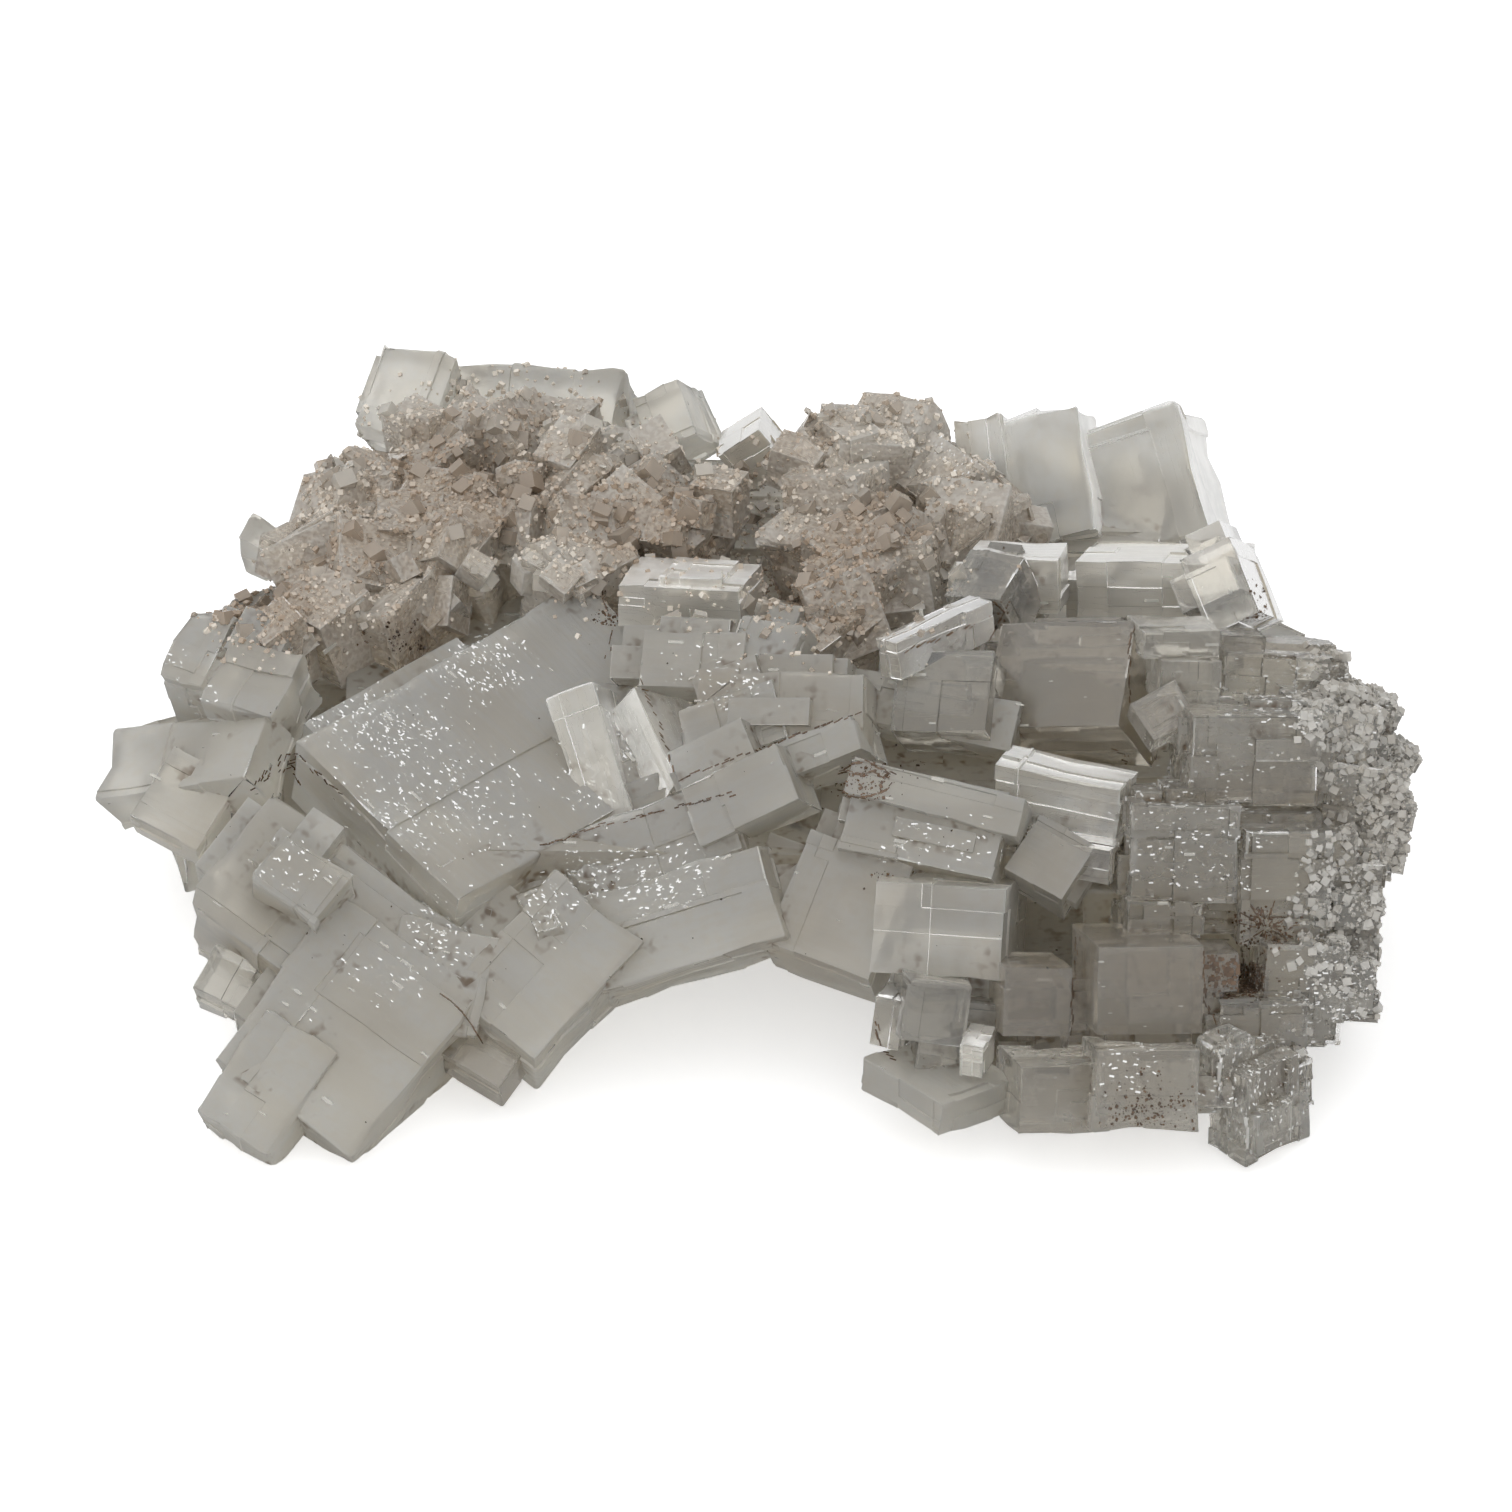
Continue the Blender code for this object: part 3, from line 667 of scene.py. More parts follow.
def ledge(corner, edges, lengths, dice):
    """A cube that stands a little out of one of its parent's front faces."""
    axis = dice.integers(3)
    size = lengths * dice.uniform(*LEDGE_SHARE, 3)
    start = dice.random(3) * (lengths - size)
    size[axis] = LEDGE_WIDE
    start[axis] = -dice.uniform(*LEDGE_OUT)
    return corner + edges @ start, edges, size


def offshoots(dice):
    """The offshoots of every large cube: (name, corner, edges, lengths), in the display frame."""
    found, blocks = [], []
    for name, corner, angles, lengths in CRYSTALS:
        edges, lengths = attitude(angles), np.array(lengths, float)
        if name.startswith("druse"):
            blocks.append(np.array(corner) + edges @ (lengths / 2))
            found += [(name, *knob(corner, edges, lengths, dice)) for _ in range(KNOBS)]
        elif min(lengths) >= SMALLEST_PARENT:
            for axis in (0, 1, 2) * by_name(BESIDE, name, 1) + (0, 1):
                found.append((name, *beside(corner, edges, lengths, axis, dice)))
            for _ in range(by_name(LEDGES, name, 0)):
                found.append((name, *ledge(corner, edges, lengths, dice)))
    for first, second in itertools.combinations(blocks, 2):
        if np.linalg.norm(first - second) < NEIGHBOURS:
            turn, size = turned(dice.uniform(-FILL_TURN, FILL_TURN, 3)), dice.uniform(*FILL_WIDE, 3)
            middle = (first + second) / 2 + (0, 0, dice.uniform(*FILL_UP))
            found.append(("druse_fill", middle - turn @ (size / 2), turn, size))
    kept = [row for row in found if in_outline(*row[1:])]
    print("offshoots:", len(kept), "of", len(found))
    return kept


# %% Every cube
CHANCE = 7  # the seed of the offshoots
SEEDS = {"layout": 0, "offshoots": 5000, "hidden": 2000, "cores": 3000}  # then ten more for each cube


def all_cubes():
    """Every cube, offshoot, hidden cube and core of the cluster, each as its own closed skin."""
    cubes = []

    def add(group, count, name, corner, edges, lengths):
        """Grow one more cube, whose corner is given in world mm."""
        seed = SEEDS[group] + 10 * count
        cubes.append(grown(name, corner, edges, lengths, seed, group == "offshoots"))

    for count, (name, corner, angles, lengths) in enumerate(CRYSTALS):
        add("layout", count, name, to_world([corner])[0], LEAN @ attitude(angles), lengths)
    for count, (name, corner, edges, lengths) in enumerate(offshoots(np.random.default_rng(CHANCE))):
        add("offshoots", count, name, to_world([corner])[0], LEAN @ edges, lengths)
    for count, (name, middle, angles, lengths) in enumerate(HIDDEN):
        edges = turned(angles)
        corner = np.array(middle) - ORIGIN - edges @ (np.array(lengths) / 2)
        add("hidden", count, name, corner, edges, lengths)
    for count, (name, low, high, angle) in enumerate(CORES):
        edges, lengths = turned((0, 0, angle)), np.subtract(high, low)
        corner = np.add(low, high) / 2 - ORIGIN - edges @ (lengths / 2)
        add("cores", count, name, corner, edges, lengths)
    return cubes


# %% [markdown]
# ## Grown together
#
# The cubes overlap. For glass that matters: light bends at every surface it meets, so a cube's hidden
# side inside its neighbour would show as a false edge. A Boolean union keeps only the outside. The
# MANIFOLD solver takes the whole collection of closed skins in one go, in seconds.

# %% Join the cubes and saw the base flat
SAW_CELLS = (30, 30, 6)
SAW_MM = 10.0  # small squares keep the sawn base in small faces
SMOOTH_BELOW = math.radians(32)  # an edge sharper than this stays crisp


def joined(name, cubes, cutter):
    """One closed mesh: the union of cubes, less the cutter."""
    group = bpy.data.collections.new("to_join")
    bpy.context.scene.collection.children.link(group)
    first, rest = show(cubes[0]), cubes[1:]
    for cube in rest:
        group.objects.link(cube)
    union = first.modifiers.new("union", "BOOLEAN")
    union.operation, union.solver = "UNION", "MANIFOLD"
    union.operand_type, union.collection = "COLLECTION", group
    saw = first.modifiers.new("saw", "BOOLEAN")
    saw.operation, saw.solver, saw.object = "DIFFERENCE", "MANIFOLD", show(cutter)
    graph = bpy.context.evaluated_depsgraph_get()
    mesh = bpy.data.meshes.new_from_object(first.evaluated_get(graph))
    mesh.name = name
    for helper in [*cubes, cutter]:
        bpy.data.objects.remove(helper)
    bpy.data.collections.remove(group)
    return show(bpy.data.objects.new(name, mesh))


def sawing_block():
    """A block whose top is the plane z = 0."""
    index, faces = box_grid(SAW_CELLS)
    return mesh_of("saw", (index - np.array(SAW_CELLS) * (0.5, 0.5, 1.0)) * SAW_MM, faces)


def mark_per_face(mesh, name):
    """A mark's value at the first corner of each face. All corners of a face come from one cube."""
    first = read(mesh.polygons, "loop_start", kind=np.int32)
    return np.rint(read(mesh.attributes[name].data, "value")[first]).astype(np.int32)


cluster = joined("halite_crystals", all_cubes(), sawing_block())
cluster.data.shade_smooth()
cluster.data.set_sharp_from_angle(angle=SMOOTH_BELOW)
cluster.data.calc_loop_triangles()
print("cluster triangles:", len(cluster.data.loop_triangles))

# %% [markdown]
# ## What makes rock salt look milky
#
# Three things whiten a clear cube. Veils of tiny bubbles hang inside it, in layers along its faces.
# Damp air etches its skin into fine rectangular pits and streaks that sparkle. Handling bruises its
# edges white. Each is a node group with named inputs and outputs that reads a mark of the mesh: the
# grain, which is the place in the cube's own frame, or near and far.

# %% Helpers for marks, mixes and groups
def mark_of(tree, name, vector=False):
    """A mark that the mesh carries."""
    return node(tree, "Attribute", attribute_name=name).outputs["Vector" if vector else "Fac"]


def blended(tree, share, first, second):
    """Two colours mixed by share: 0 gives the first."""
    inputs = {0: share, 6: first, 7: second}
    return node(tree, "Mix", inputs, data_type="RGBA").outputs[2]


def new_group(name, inputs, outputs):
    """A node group with sockets named in two dictionaries of name to kind, and its in and out nodes."""
    group = bpy.data.node_groups.new(name, "ShaderNodeTree")
    for side, sockets in (("INPUT", inputs), ("OUTPUT", outputs)):
        for label, kind in sockets.items():
            group.interface.new_socket(name=label, in_out=side, socket_type="NodeSocket" + kind)
    return group, group.nodes.new("NodeGroupInput").outputs, group.nodes.new("NodeGroupOutput").inputs


def use_group(tree, group, **inputs):
    """The outputs of a node that holds the group, with its inputs filled."""
    return node(tree, "Group", inputs, node_tree=group).outputs


# %% Group: veils inside a cube
VEIL_GRAIN = (0.07, 0.11, 0.2)  # puffs per mm along the three edges
VEIL_EDGES = (0.36, 0.62)  # where a puff begins, and where it is thick


def veils_group():
    """Veil, 0 to 1: a slow cloud, flattened along the cube's faces."""
    group, given, result = new_group("milky_veils", {"Grain": "Vector"}, {"Veil": "Float"})
    flat = node(group, "Mapping", {"Vector": given["Grain"], "Scale": VEIL_GRAIN})
    cloud = node(group, "TexNoise", {"Vector": flat.outputs[0], "Scale": 1.0, "Detail": 0.0})
    group.links.new(between(group, cloud.outputs[0], *VEIL_EDGES), result["Veil"])
    return group


# %% Group: etched pits and streaks
WIDE_PITS = (0.22, 0.5, 0.5)  # pits per mm
FINE_PITS = (0.7, 1.7, 1.7)
STREAKS = (0.12, 1.0, 1.0)
BEND_MM = 3.0
WIDE_DEEP, FINE_DEEP, STREAK_DEEP = 0.3, 0.2, 0.8
FINE_SPARK = 0.12
SPARK_EDGES = (0.5, 0.68)


def pits_at(group, place, scale, shift, least):
    """A random depth for each little box of a grid, floor(place x scale + shift); nought below least."""
    moved = node(group, "Mapping", {"Vector": place, "Scale": scale, "Location": shift})
    cell = node(group, "VectorMath", {0: moved.outputs[0]}, operation="FLOOR")
    random = node(group, "TexWhiteNoise", {"Vector": cell.outputs[0]}).outputs["Value"]
    return between(group, random, least, 1.0)


def etching_group():
    """Height and Sparkle of an etched cube face, both times Amount.

    The pits are the boxes of two grids along the grain, each at a height of its own, with the grid
    lines a little bent. The streaks are noise drawn out along one edge, and they sparkle."""
    group, given, result = new_group(
        "etching", {"Grain": "Vector", "Amount": "Float"}, {"Height": "Float", "Sparkle": "Float"}
    )
    drawn = node(group, "Mapping", {"Vector": given["Grain"], "Scale": STREAKS}).outputs[0]
    streaks = node(group, "TexNoise", {"Vector": drawn, "Scale": 1.0, "Detail": 0.0}).outputs[0]
    bend = sum_of(group, "MULTIPLY", streaks, BEND_MM)
    bent = node(group, "VectorMath", {0: given["Grain"], 1: bend}, operation="ADD").outputs[0]
    wide = pits_at(group, bent, WIDE_PITS, (0, 0, 0), 0.55)
    fine = pits_at(group, bent, FINE_PITS, (0.4, 0.3, 0.2), 0.7)
    height = sum_of(group, "MULTIPLY", wide, WIDE_DEEP)
    for part, deep in ((fine, FINE_DEEP), (streaks, STREAK_DEEP)):
        height = sum_of(group, "MULTIPLY_ADD", part, deep, height)
    spark = between(group, sum_of(group, "MULTIPLY_ADD", fine, FINE_SPARK, streaks), *SPARK_EDGES)
    group.links.new(sum_of(group, "MULTIPLY", height, given["Amount"]), result["Height"])
    group.links.new(sum_of(group, "MULTIPLY", spark, given["Amount"]), result["Sparkle"])
    return group


# %% Group: distance to the nearest edge of the cube
def edge_group():
    """Distance in mm, by near and far, the place in the cube from two opposite corners.

    On a face, the least of the three distances to the sides is nought, and the middle one of the
    three is the distance to the nearest edge: max(min(a, b), min(max(a, b), c))."""
    group, given, result = new_group(
        "edge_distance", {"Near": "Vector", "Far": "Vector"}, {"Distance": "Float"}
    )
    sides = node(group, "VectorMath", {0: given["Near"], 1: given["Far"]}, operation="MINIMUM")
    a, b, c = node(group, "SeparateXYZ", {0: sides.outputs[0]}).outputs
    low, high = sum_of(group, "MINIMUM", a, b), sum_of(group, "MAXIMUM", a, b)
    middle = sum_of(group, "MAXIMUM", low, sum_of(group, "MINIMUM", high, c))
    group.links.new(middle, result["Distance"])
    return group


veils, etching, edge_distance = veils_group(), etching_group(), edge_group()


# %% [markdown]
# ## The salt itself
#
# Halite is nearly as clear as glass: it bends light by 1.544, and it swallows a little, more blue than
# red, so thick parts look grey and warm. Transmission, IOR and absorption are plain values. The veils,
# etching and bruises show through the rest of the shader: they whiten its colour and dull its polish.
# Three finishes share one absorption: milky salt, clear salt, and the brown sugary salt of the druse.

# %% Material: halite
HALITE_IOR = 1.544
SWALLOW_COLOUR = (0.80, 0.755, 0.65, 1)
SWALLOW_PER_METRE = 30.0
FROSTED = (1.0, 1.0, 0.97, 1)
CLAY = (0.30, 0.21, 0.145, 1)
SPECK_GRAIN = 0.55  # specks per mm
RAGGED_MM = 1.6  # how far a bruise or a growth band strays
BRUISE_MM = (0.8, 1.5)  # how wide an edge is bruised all over, and in part
BAND_MM = 1.3  # from one growth band to the next
BAND_EDGES = (0.2, 0.9)
MOTTLE_EDGES, MOTTLE_LEAST = (0.3, 0.6), 0.5  # the specks thin the veils to this share
FILM_EDGES = (0.5, 0.75)  # where specks of clay cling to the seams
SPARKLE_WHITE, BAND_WHITE, BRUISE_WHITE = 0.35, 0.3, 0.3
SUGAR_GRAIN = 1.3
SUGAR_EDGES = (0.62, 0.38)
SUGAR_DEEP = 2.0
DULLER = 0.3  # what a white place adds to the roughness
RELIEF_MM = 0.3
RELIEF_SHARE = 0.5


def swallow(tree):
    """Give a material the salt's absorption."""
    inside = {"Color": SWALLOW_COLOUR, "Density": SWALLOW_PER_METRE}
    volume = node(tree, "VolumeAbsorption", inside).outputs[0]
    tree.links.new(volume, tree.nodes["Material Output"].inputs["Volume"])


def speckle(tree, grain, scale):
    """A fine noise, about 0.5 in the mean."""
    return node(tree, "TexNoise", {"Vector": grain, "Scale": scale, "Detail": 1.0}).outputs[0]


def halite_material(name, clear, grey_body, brown_body, polish, sugar=0.0):
    """Salt with milky veils, etched faces, growth bands and bruised edges.

    clear is the share of light that the skin lets in, polish the least roughness, and sugar how
    strongly fine brown grains cover it."""
    material, tree, shader = new_material(name)
    grain = mark_of(tree, "grain", vector=True)
    near, far = mark_of(tree, "near", vector=True), mark_of(tree, "far", vector=True)
    brown = mark_of(tree, "brown")
    veil = use_group(tree, veils, Grain=grain)["Veil"]
    etched = use_group(tree, etching, Grain=grain, Amount=mark_of(tree, "streak"))
    inward = use_group(tree, edge_distance, Near=near, Far=far)["Distance"]

    speck = speckle(tree, grain, SPECK_GRAIN)
    ragged = sum_of(tree, "MULTIPLY_ADD", speck, RAGGED_MM, inward)
    bruised = between(tree, ragged, *BRUISE_MM, 1.0, 0.0)
    wave = sum_of(tree, "SINE", sum_of(tree, "MULTIPLY", ragged, 2 * math.pi / BAND_MM))
    banded = sum_of(tree, "MULTIPLY", between(tree, wave, *BAND_EDGES), mark_of(tree, "bands"))
    mottled = sum_of(tree, "MULTIPLY", veil, between(tree, speck, *MOTTLE_EDGES, MOTTLE_LEAST))
    white = sum_of(tree, "MULTIPLY", mottled, mark_of(tree, "frost"))
    whiter = ((etched["Sparkle"], SPARKLE_WHITE), (banded, BAND_WHITE), (bruised, BRUISE_WHITE))
    for mask, share in whiter:
        white = sum_of(tree, "MULTIPLY_ADD", mask, share, white, clamp=True)

    body = blended(tree, brown, (*grey_body, 1), (*brown_body, 1))
    skin = blended(tree, white, body, FROSTED)
    if sugar:
        grains = speckle(tree, grain, SUGAR_GRAIN)
        sugary = sum_of(tree, "MULTIPLY", brown, sugar)
        film = sum_of(tree, "MULTIPLY", between(tree, grains, *SUGAR_EDGES), sugary)
        height = sum_of(tree, "MULTIPLY_ADD", grains, SUGAR_DEEP, etched["Height"])
    else:
        seam = sum_of(tree, "SUBTRACT", 1.0, mark_of(tree, "grown"), clamp=True)
        film = sum_of(tree, "MULTIPLY", seam, between(tree, speck, *FILM_EDGES))
        height = etched["Height"]
    relief = node(
        tree, "Bump", {"Height": height, "Distance": RELIEF_MM * MM, "Strength": RELIEF_SHARE}
    )
    filled(tree, shader, {
        "Base Color": blended(tree, film, skin, CLAY),
        "Roughness": sum_of(tree, "MULTIPLY_ADD", white, DULLER, polish),
        "Normal": relief.outputs[0],
        "IOR": HALITE_IOR,
        "Transmission Weight": clear,
    })
    swallow(tree)
    return material


cluster.data.materials.clear()
for finish in (
    ("milky_halite", 0.75, (0.935, 0.905, 0.83), (0.77, 0.70, 0.595), 0.3),
    ("clear_halite", 0.85, (0.95, 0.925, 0.86), (0.825, 0.75, 0.655), 0.13),
    ("druse_halite", 0.5, (0.97, 0.94, 0.86), (0.71, 0.60, 0.48), 0.25, 0.45),
):
    cluster.data.materials.append(halite_material(*finish))
cluster.data.polygons.foreach_set("material_index", mark_per_face(cluster.data, "kind"))
print("cluster materials:", [material.name for material in cluster.data.materials])

# %% [markdown]
# ## The druse
#
# On top of the big cubes sits a druse: thousands of cubes from a third of a millimetre to three
# millimetres, the finest like brown sugar. Each is an ordinary box of six faces. They are strewn over
# the finished surface where soft patches say so, thickest in the middle of a patch, and each one is
# sunk by half or more and tipped a little. The crust of the right rim is made the same way.

# %% Where things lie on the surface
LOWEST_MM = 1.2  # nothing is strewn lower than this
UPRIGHT, LEAST = 0.6, 0.05  # how much upright faces get, and how much those that look down


def triangles_of(piece):
    """The corners of each triangle in world mm, N x 3 x 3, and the triangles' area vectors."""
    points = read(piece.data.vertices, "co", 3).reshape(-1, 3)
    index = read(piece.data.loop_triangles, "vertices", 3, np.int32)
    corners = points[index].reshape(-1, 3, 3) / MM
    return corners, np.cross(corners[:, 1] - corners[:, 0], corners[:, 2] - corners[:, 0]) / 2


corners, areas = triangles_of(cluster)
triangle_face = read(cluster.data.loop_triangles, "polygon_index", kind=np.int32)
triangle_cube = mark_per_face(cluster.data, "cube")[triangle_face]
print("surface of the cluster, square mm:", round(np.linalg.norm(areas, axis=1).sum()))


def strewn(patches, count, dice):
    """count random places on the cluster in the patches, the normals there, and the triangles.

    A triangle is drawn with a chance of its area times the density, and the place in it is
    a + s (b - a) + t (c - a) with s + t < 1. Faces that look down get little."""
    size = np.linalg.norm(areas, axis=1)
    facing = np.clip(areas[:, 2] / np.maximum(size, 1e-9) + UPRIGHT, LEAST, 1)
    middle = corners.mean(axis=1)
    chance = size * facing * patch_density(middle, patches) * (middle[:, 2] > LOWEST_MM)
    chosen = dice.choice(len(corners), size=count, p=chance / chance.sum())
    s, t = dice.random((2, count))
    s, t = np.where(s + t > 1, 1 - s, s), np.where(s + t > 1, 1 - t, t)
    a, b, c = corners[chosen].transpose(1, 0, 2)
    places = a + s[:, None] * (b - a) + t[:, None] * (c - a)
    return places, unit(areas[chosen]), chosen


def tipped_frames(normals, tip, dice):
    """For each normal, three axes square to each other: N x 3 x 3, with the last near the normal."""
    up = unit(normals + dice.normal(scale=tip, size=normals.shape))
    side = unit(np.cross(up, dice.normal(size=normals.shape)))
    return np.stack((side, np.cross(up, side), up), axis=2)


def grain_frames(normals, chosen, tip, dice):
    """Three axes along the edges of the cube that each chosen triangle belongs to, the last outward."""
    edges = np.array(FRAMES)[triangle_cube[chosen]]
    facing = np.einsum("nij,ni->nj", edges, normals)
    up = np.abs(facing).argmax(axis=1)
    each = np.arange(len(chosen))
    third = edges[each, :, up] * np.sign(facing[each, up])[:, None]
    first = np.where((up == 0)[:, None], edges[:, :, 1], edges[:, :, 0])
    second = unit(np.cross(third, first + dice.normal(scale=tip, size=first.shape)))
    return np.stack((np.cross(second, third), second, third), axis=2)


# %% Little boxes, each of its own shade
ABOVE_TABLE = 0.02  # mm; no little box reaches lower
BOX_SIDES = np.array(
    ((0, 1, 3, 2), (4, 6, 7, 5), (0, 4, 5, 1), (2, 3, 7, 6), (0, 2, 6, 4), (1, 5, 7, 3))
)
OWN_SHADE, ZONE_SHADE = 0.6, 0.8  # how much a box's shade is chance, and how much the clay about it


def little_boxes(name, places, frames, sizes, sunk, material):
    """A piece of many boxes: corner = place + frame (corner of a unit box x size), lowered by sunk."""
    local = (UNIT_CORNERS - (0.5, 0.5, sunk))[None] * sizes[:, None]
    points = places[:, None] + np.einsum("nij,nkj->nki", frames, local)
    points[:, :, 2] = np.maximum(points[:, :, 2], ABOVE_TABLE)
    faces = BOX_SIDES[None] + len(UNIT_CORNERS) * np.arange(len(places))[:, None, None]
    tone = np.random.default_rng(len(places)).uniform(-1, 1, len(places))
    tone = np.clip(OWN_SHADE * tone - ZONE_SHADE * clay_zone(places), -1, 1)
    tone = np.repeat(tone, len(UNIT_CORNERS))
    piece = show(mesh_of(name, points.reshape(-1, 3), faces.reshape(-1, 4), tone=tone))
    piece.data.materials.append(material)
    print(name, len(places), "boxes")
    return piece


def strewn_piece(name, material, patches, count, longest, shape, tip, sunk, seed, aligned=False):
    """A piece of strewn boxes. longest is (least, most) of the long edge, mostly near the least, and
    shape the box's three edges as shares of it. Aligned ones lie along the cube under them."""
    dice = np.random.default_rng(seed)
    places, normals, chosen = strewn(patches, count, dice)
    edge = longest[0] + (longest[1] - longest[0]) * dice.random(count) ** 3
    sizes = edge[:, None] * np.array(shape) * dice.uniform(0.7, 1.0, (count, 3))
    if aligned:
        frames = grain_frames(normals, chosen, tip, dice)
    else:
        frames = tipped_frames(normals, tip, dice)
    return little_boxes(name, places, frames, sizes, sunk, material)


# %% Material: sugary salt
SUGAR_POLISH = 0.18


def sugar_material(name, body, deep, clear=0.0):
    """Small crystals, each of its own shade between deep and body. clear is how see-through."""
    material, tree, shader = new_material(name)
    shade = between(tree, mark_of(tree, "tone"), -1.0, 1.0)
    filled(tree, shader, {
        "Base Color": blended(tree, shade, (*deep, 1), (*body, 1)),
        "Roughness": SUGAR_POLISH,
        "IOR": HALITE_IOR,
        "Transmission Weight": clear,
    })
    if clear:
        swallow(tree)
    return material


# %% Strew the druse and the crust
DRUSE_PATCHES = (
    (-55, 41, 15, 12, 1), (-40, 44, 18, 14, 1), (-21, 36, 15, 13, 1),
    (-9, 28, 9, 8, 0.8), (-75, 21, 8, 7, 0.9), (-63, 26, 12, 8, 0.8),
    (11, 30, 17, 14, 1), (19, 50, 14, 7, 0.7), (30, 42, 8, 8, 0.7),
    (-2, 40, 9, 9, 0.7),
)
CRUST_PATCHES = (
    (94, -5, 7, 17, 1), (89, 6, 8, 9, 1), (89, -22, 8, 9, 0.9),
    (88, -33, 8, 7, 0.5),
)
CUBE = (1.0, 1.0, 1.0)

salt = sugar_material("druse_salt", (0.96, 0.92, 0.84), (0.67, 0.555, 0.44), 0.6)
druse = strewn_piece("druse_cubes", salt, DRUSE_PATCHES, 1500, (0.8, 3.2), CUBE, 0.5, 0.6, 41)
salt = sugar_material("sugar_salt", (0.78, 0.72, 0.63), (0.41, 0.32, 0.24))
sugar = strewn_piece("druse_sugar", salt, DRUSE_PATCHES, 16500, (0.3, 1.0), CUBE, 0.8, 0.5, 42)
salt = sugar_material("crust_salt", (0.94, 0.915, 0.86), (0.80, 0.75, 0.67), 0.5)
crust = strewn_piece("edge_crust", salt, CRUST_PATCHES, 6500, (0.3, 1.5), CUBE, 0.35, 0.65, 43)

# %% [markdown]
# ## Sparkles and ledges
#
# Where a face is etched, thousands of facets smaller than a millimetre stand at slightly different
# angles, and the ones that happen to face the light flash white. They are thin chips here, strewn
# over the same kind of patches, half sunk, and turned out of line with the cube by a little. Thin
# plates in line with the cube, spread over the whole front, stand for the edges of growth layers.

# %% Strew the sparkling chips and the growth ledges
SPARKLE_PATCHES = (
    (-56.4, 4.6, 9, 4.5, 0.9), (-41.4, 12.9, 6, 5.5, 1), (-23.4, -0.6, 4.5, 7.5, 1),
    (-49, -7, 13, 9, 0.5), (-31.6, -22.3, 3.2, 5.5, 1), (-24, -17.8, 4.5, 4.5, 0.9),
    (-13.6, -18.6, 6.5, 5, 1), (-46.6, -26, 5, 5.5, 0.7), (-69, -17, 5, 4.5, 0.5),
    (-55, -33, 8, 6, 0.3), (27, -12.6, 9, 4, 0.4), (56, -45.6, 4.5, 3, 0.6),
    (74, -48.6, 8, 8, 0.7), (87.6, -36.6, 8, 8, 0.9), (66, -11, 11, 11, 0.4),
    (-6, 11, 8, 5, 0.4), (31.4, 48.9, 3, 6, 0.8), (-89, 14.4, 4, 4, 0.5),
    (-84, 8.4, 4, 3, 0.5), (84, 10, 12, 7, 0.5),
)
LEDGE_PATCHES = ((0, -8, 100, 52, 0.4), *SPARKLE_PATCHES)
CHIP = (1.0, 0.4, 0.2)
PLATE = (1.0, 0.24, 0.1)

salt = sugar_material("sparkle_salt", (0.98, 0.98, 0.97), (0.86, 0.85, 0.83))
sparkles = strewn_piece(
    "sparkling_chips", salt, SPARKLE_PATCHES, 14000, (0.1, 0.85), CHIP, 0.4, 0.5, 44, aligned=True
)
salt = sugar_material("ledge_salt", (0.88, 0.865, 0.80), (0.80, 0.77, 0.70), 0.5)
ledges = strewn_piece(
    "growth_ledges", salt, LEDGE_PATCHES, 1300, (0.6, 3.0), PLATE, 0.0, 0.75, 48, aligned=True
)

# %% [markdown]
# ## Clay and dust
#
# Rust-brown clay sits in a few hollows and dark grains cling here and there. They are opaque, so each
# is only a dull brown box of a quarter of a millimetre or so. One hollow is filled with larger ones.

# %% Strew the clay
CLAY_PATCHES = (
    (76.4, -25.4, 4.2, 2.8, 1), (71.9, -32.9, 4, 2.6, 0.9), (16.4, -3.6, 4.5, 2.8, 0.8),
    (58.4, -51.6, 6, 3.4, 0.8), (-54.9, 17.4, 4, 2.4, 0.9), (-22.4, 22.4, 1.2, 2.6, 1),
    (36.6, 21.6, 1.6, 2, 0.9), (53.9, 0.2, 1.8, 1.4, 0.9), (75.2, 22.7, 2.6, 2.2, 0.6),
    (18.6, -18.3, 1.2, 1, 1),
)
DUST_PATCHES = ((-20, -5, 90, 60, 1),)
HOLLOW = ((71.9, -32.9, 4.1, 2.8, 1),)
FLAKE = (1.0, 0.8, 0.3)
CRUMB = (1.0, 0.7, 0.5)
GRIT = (1.0, 0.8, 0.6)

brown_clay = sugar_material("clay", (0.17, 0.105, 0.062), (0.06, 0.038, 0.024))
dark_dust = sugar_material("dust", (0.13, 0.09, 0.06), (0.03, 0.025, 0.02))
hollow = strewn_piece(
    "clay_hollow", brown_clay, HOLLOW, 1000, (0.4, 1.1), FLAKE, 0.2, 0.5, 49, aligned=True
)
clay = strewn_piece("clay_grains", brown_clay, CLAY_PATCHES, 4200, (0.14, 0.65), CRUMB, 0.6, 0.4, 45)
dust = strewn_piece("dust_grains", dark_dust, DUST_PATCHES, 420, (0.12, 0.45), GRIT, 0.6, 0.4, 46)

# %% [markdown]
# ## Cracks
#
# Clay also marks the cracks between cubes, as broken brown lines. Each line is a row of slivers: points
# between its corners are dropped onto the surface by a ray from the viewer, and a sliver lies at each.
# A loose hair on the left lobe is drawn in the same way, with no gaps.

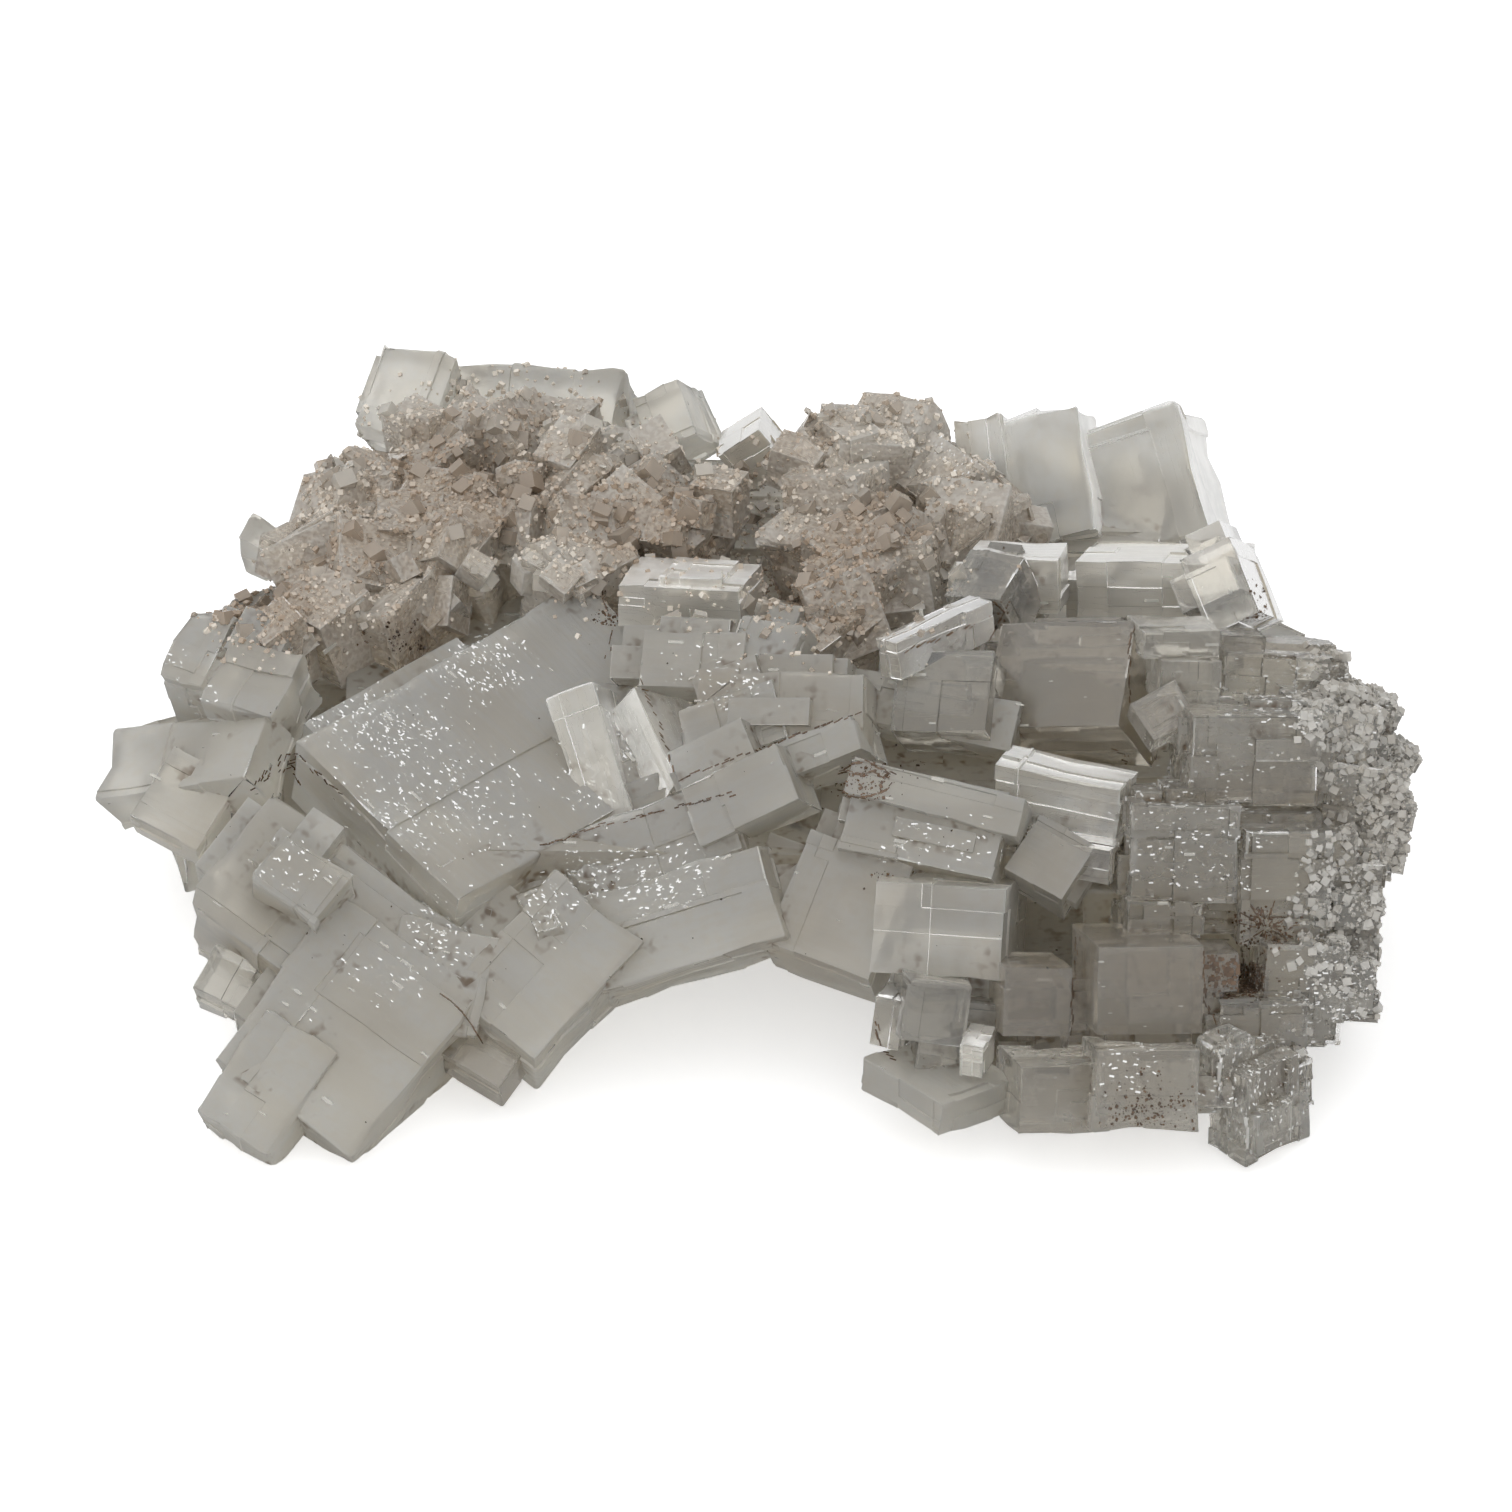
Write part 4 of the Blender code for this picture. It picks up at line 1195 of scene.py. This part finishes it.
# %% Draw the clay lines and the hair
# each line as (u, v) in mm in the front view
EYE = (
    ((12.3, -2.8), (14.1, -1.2), (16.5, -0.9), (19.2, -2.1), (20.8, -2.8)),
    ((12.3, -5.1), (14.4, -6.1), (17.1, -6), (19.5, -5.1), (20.5, -3.9)),
    ((13.3, -2.1), (15.6, -2.8), (17.8, -2.4), (19.8, -3.3)),
)
TUFT = [  # clay threads over the right lobe, as the way each goes from the middle
    (-1, 0.1), (-0.9, 0.6), (-0.55, 0.9), (-0.2, 1), (0.15, 0.95), (0.5, 0.8), (0.85, 0.5),
    (1, 0), (0.9, -0.6), (0.45, -0.8), (-0.1, -0.9), (-0.7, -0.7),
]
CLAY_LINES = (
    ((-75.6, -5.1), (-73.2, -2.1), (-70.6, 0.1), (-68.4, -0.1), (-65.7, -2.8), (-61.6, -5.8)),
    ((-70.6, -0.1), (-68.4, -4.3), (-66.9, -5.8)),
    ((-74.1, -3.6), (-70.9, -1.8), (-68.8, -0.1)),
    ((-17.4, 11.1), (-15.1, 6.1), (-13.2, 0.9), (-12, -3.3)),
    ((-11.7, -3.6), (-8.4, -2.4), (-3.9, -0.6), (0.9, 1.2), (5.1, 2.7), (10.3, 4.6), (15.6, 6.6)),
    *EYE * 2,  # drawn twice, so that it is twice as dense
    ((-32, -13.6), (-25, -11), (-13.3, -8), (-3, -5.5)),
    ((35.8, 23.4), (37.3, 21.6), (35.1, 17.4)),
    ((22.3, 15.9), (26.8, 17.4), (32.8, 19.6)),
    ((-23.4, 24.9), (-21.6, 19.6), (-22.5, 14.4)),
    ((52.3, 1.6), (54.3, 0.6), (55.8, -1.3)),
    ((56.1, 8.4), (55.8, 15.9), (56.8, 20.4)),
    ((47.8, -26.8), (47.4, -33.6), (47.1, -41.1)),
    ((17.8, -39.6), (18.6, -43.3), (20.8, -45.6)),
    ((66.6, -29.1), (67, -36.6), (68.8, -41.1)),
    ((74, -22), (76.5, -25), (79.5, -27.5)),
    *(((76.2 + 0.8 * a, -25.6 + 0.5 * b), (76.2 + 4.6 * a, -25.2 + 3.4 * b)) for a, b in TUFT),
)
HAIR = (((-47.1, -35.4), (-45.4, -36.6), (-43.8, -38.2), (-42.3, -40.2), (-40.8, -42.9)),)
SPACING_MM = 0.6  # from one sliver to the next
OVERLAP = 1.9  # a sliver's length, in spacings
SLIVER_SUNK = 0.4
EYE_HEIGHT = 500.0  # mm in front of the picture, where each ray starts
skin_tree = BVHTree.FromObject(cluster, bpy.context.evaluated_depsgraph_get())


def on_surface(u, v):
    """The point of the surface, in world mm, that the front view shows at (u, v), and its normal."""
    place, normal, _, _ = skin_tree.ray_cast(Vector(to_world([u, v, EYE_HEIGHT]) * MM), INTO_PICTURE)
    return (None, None) if place is None else (np.array(place) / MM, np.array(normal))


def sliver_line(name, lines, thick, wobble, kept, seed):
    """A piece of slivers along lines, each thick mm wide. A share kept of them is there."""
    dice = np.random.default_rng(seed)
    places, frames = [], []
    for line in lines:
        for start, end in zip(line[:-1], line[1:]):
            way = np.subtract(end, start)
            steps = max(1, int(np.linalg.norm(way) / SPACING_MM))
            for share in (np.arange(steps) + 0.5) / steps:
                spot = start + share * way + dice.normal(scale=wobble, size=2)
                place, normal = on_surface(*spot)
                if place is None or dice.random() > kept:
                    continue
                along = LEAN @ (*way, 0.0) + dice.normal(scale=wobble, size=3)
                across = unit(np.cross(normal, along))
                places.append(place)
                frames.append(np.stack((np.cross(across, normal), across, normal), axis=1))
    sizes = np.array((OVERLAP * SPACING_MM, thick, thick)) * dice.uniform(0.6, 1.1, (len(places), 3))
    return little_boxes(name, np.array(places), np.array(frames), sizes, SLIVER_SUNK, brown_clay)


cracks = sliver_line("clay_lines", CLAY_LINES, 0.2, 0.15, 0.75, 51)
hair = sliver_line("hair", HAIR, 0.22, 0.0, 1.0, 52)

# %% [markdown]
# ## All on one body
#
# Every piece is salt, or clings to it, and the cluster doesn't move in itself, so all of them ride on
# the one body. The finished cluster takes the place of its plain solid model.

# %% Finish
for piece in (cluster, druse, sugar, crust, sparkles, ledges, clay, dust, cracks, hair, hollow):
    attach(piece, "root")
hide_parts("halite_cluster")
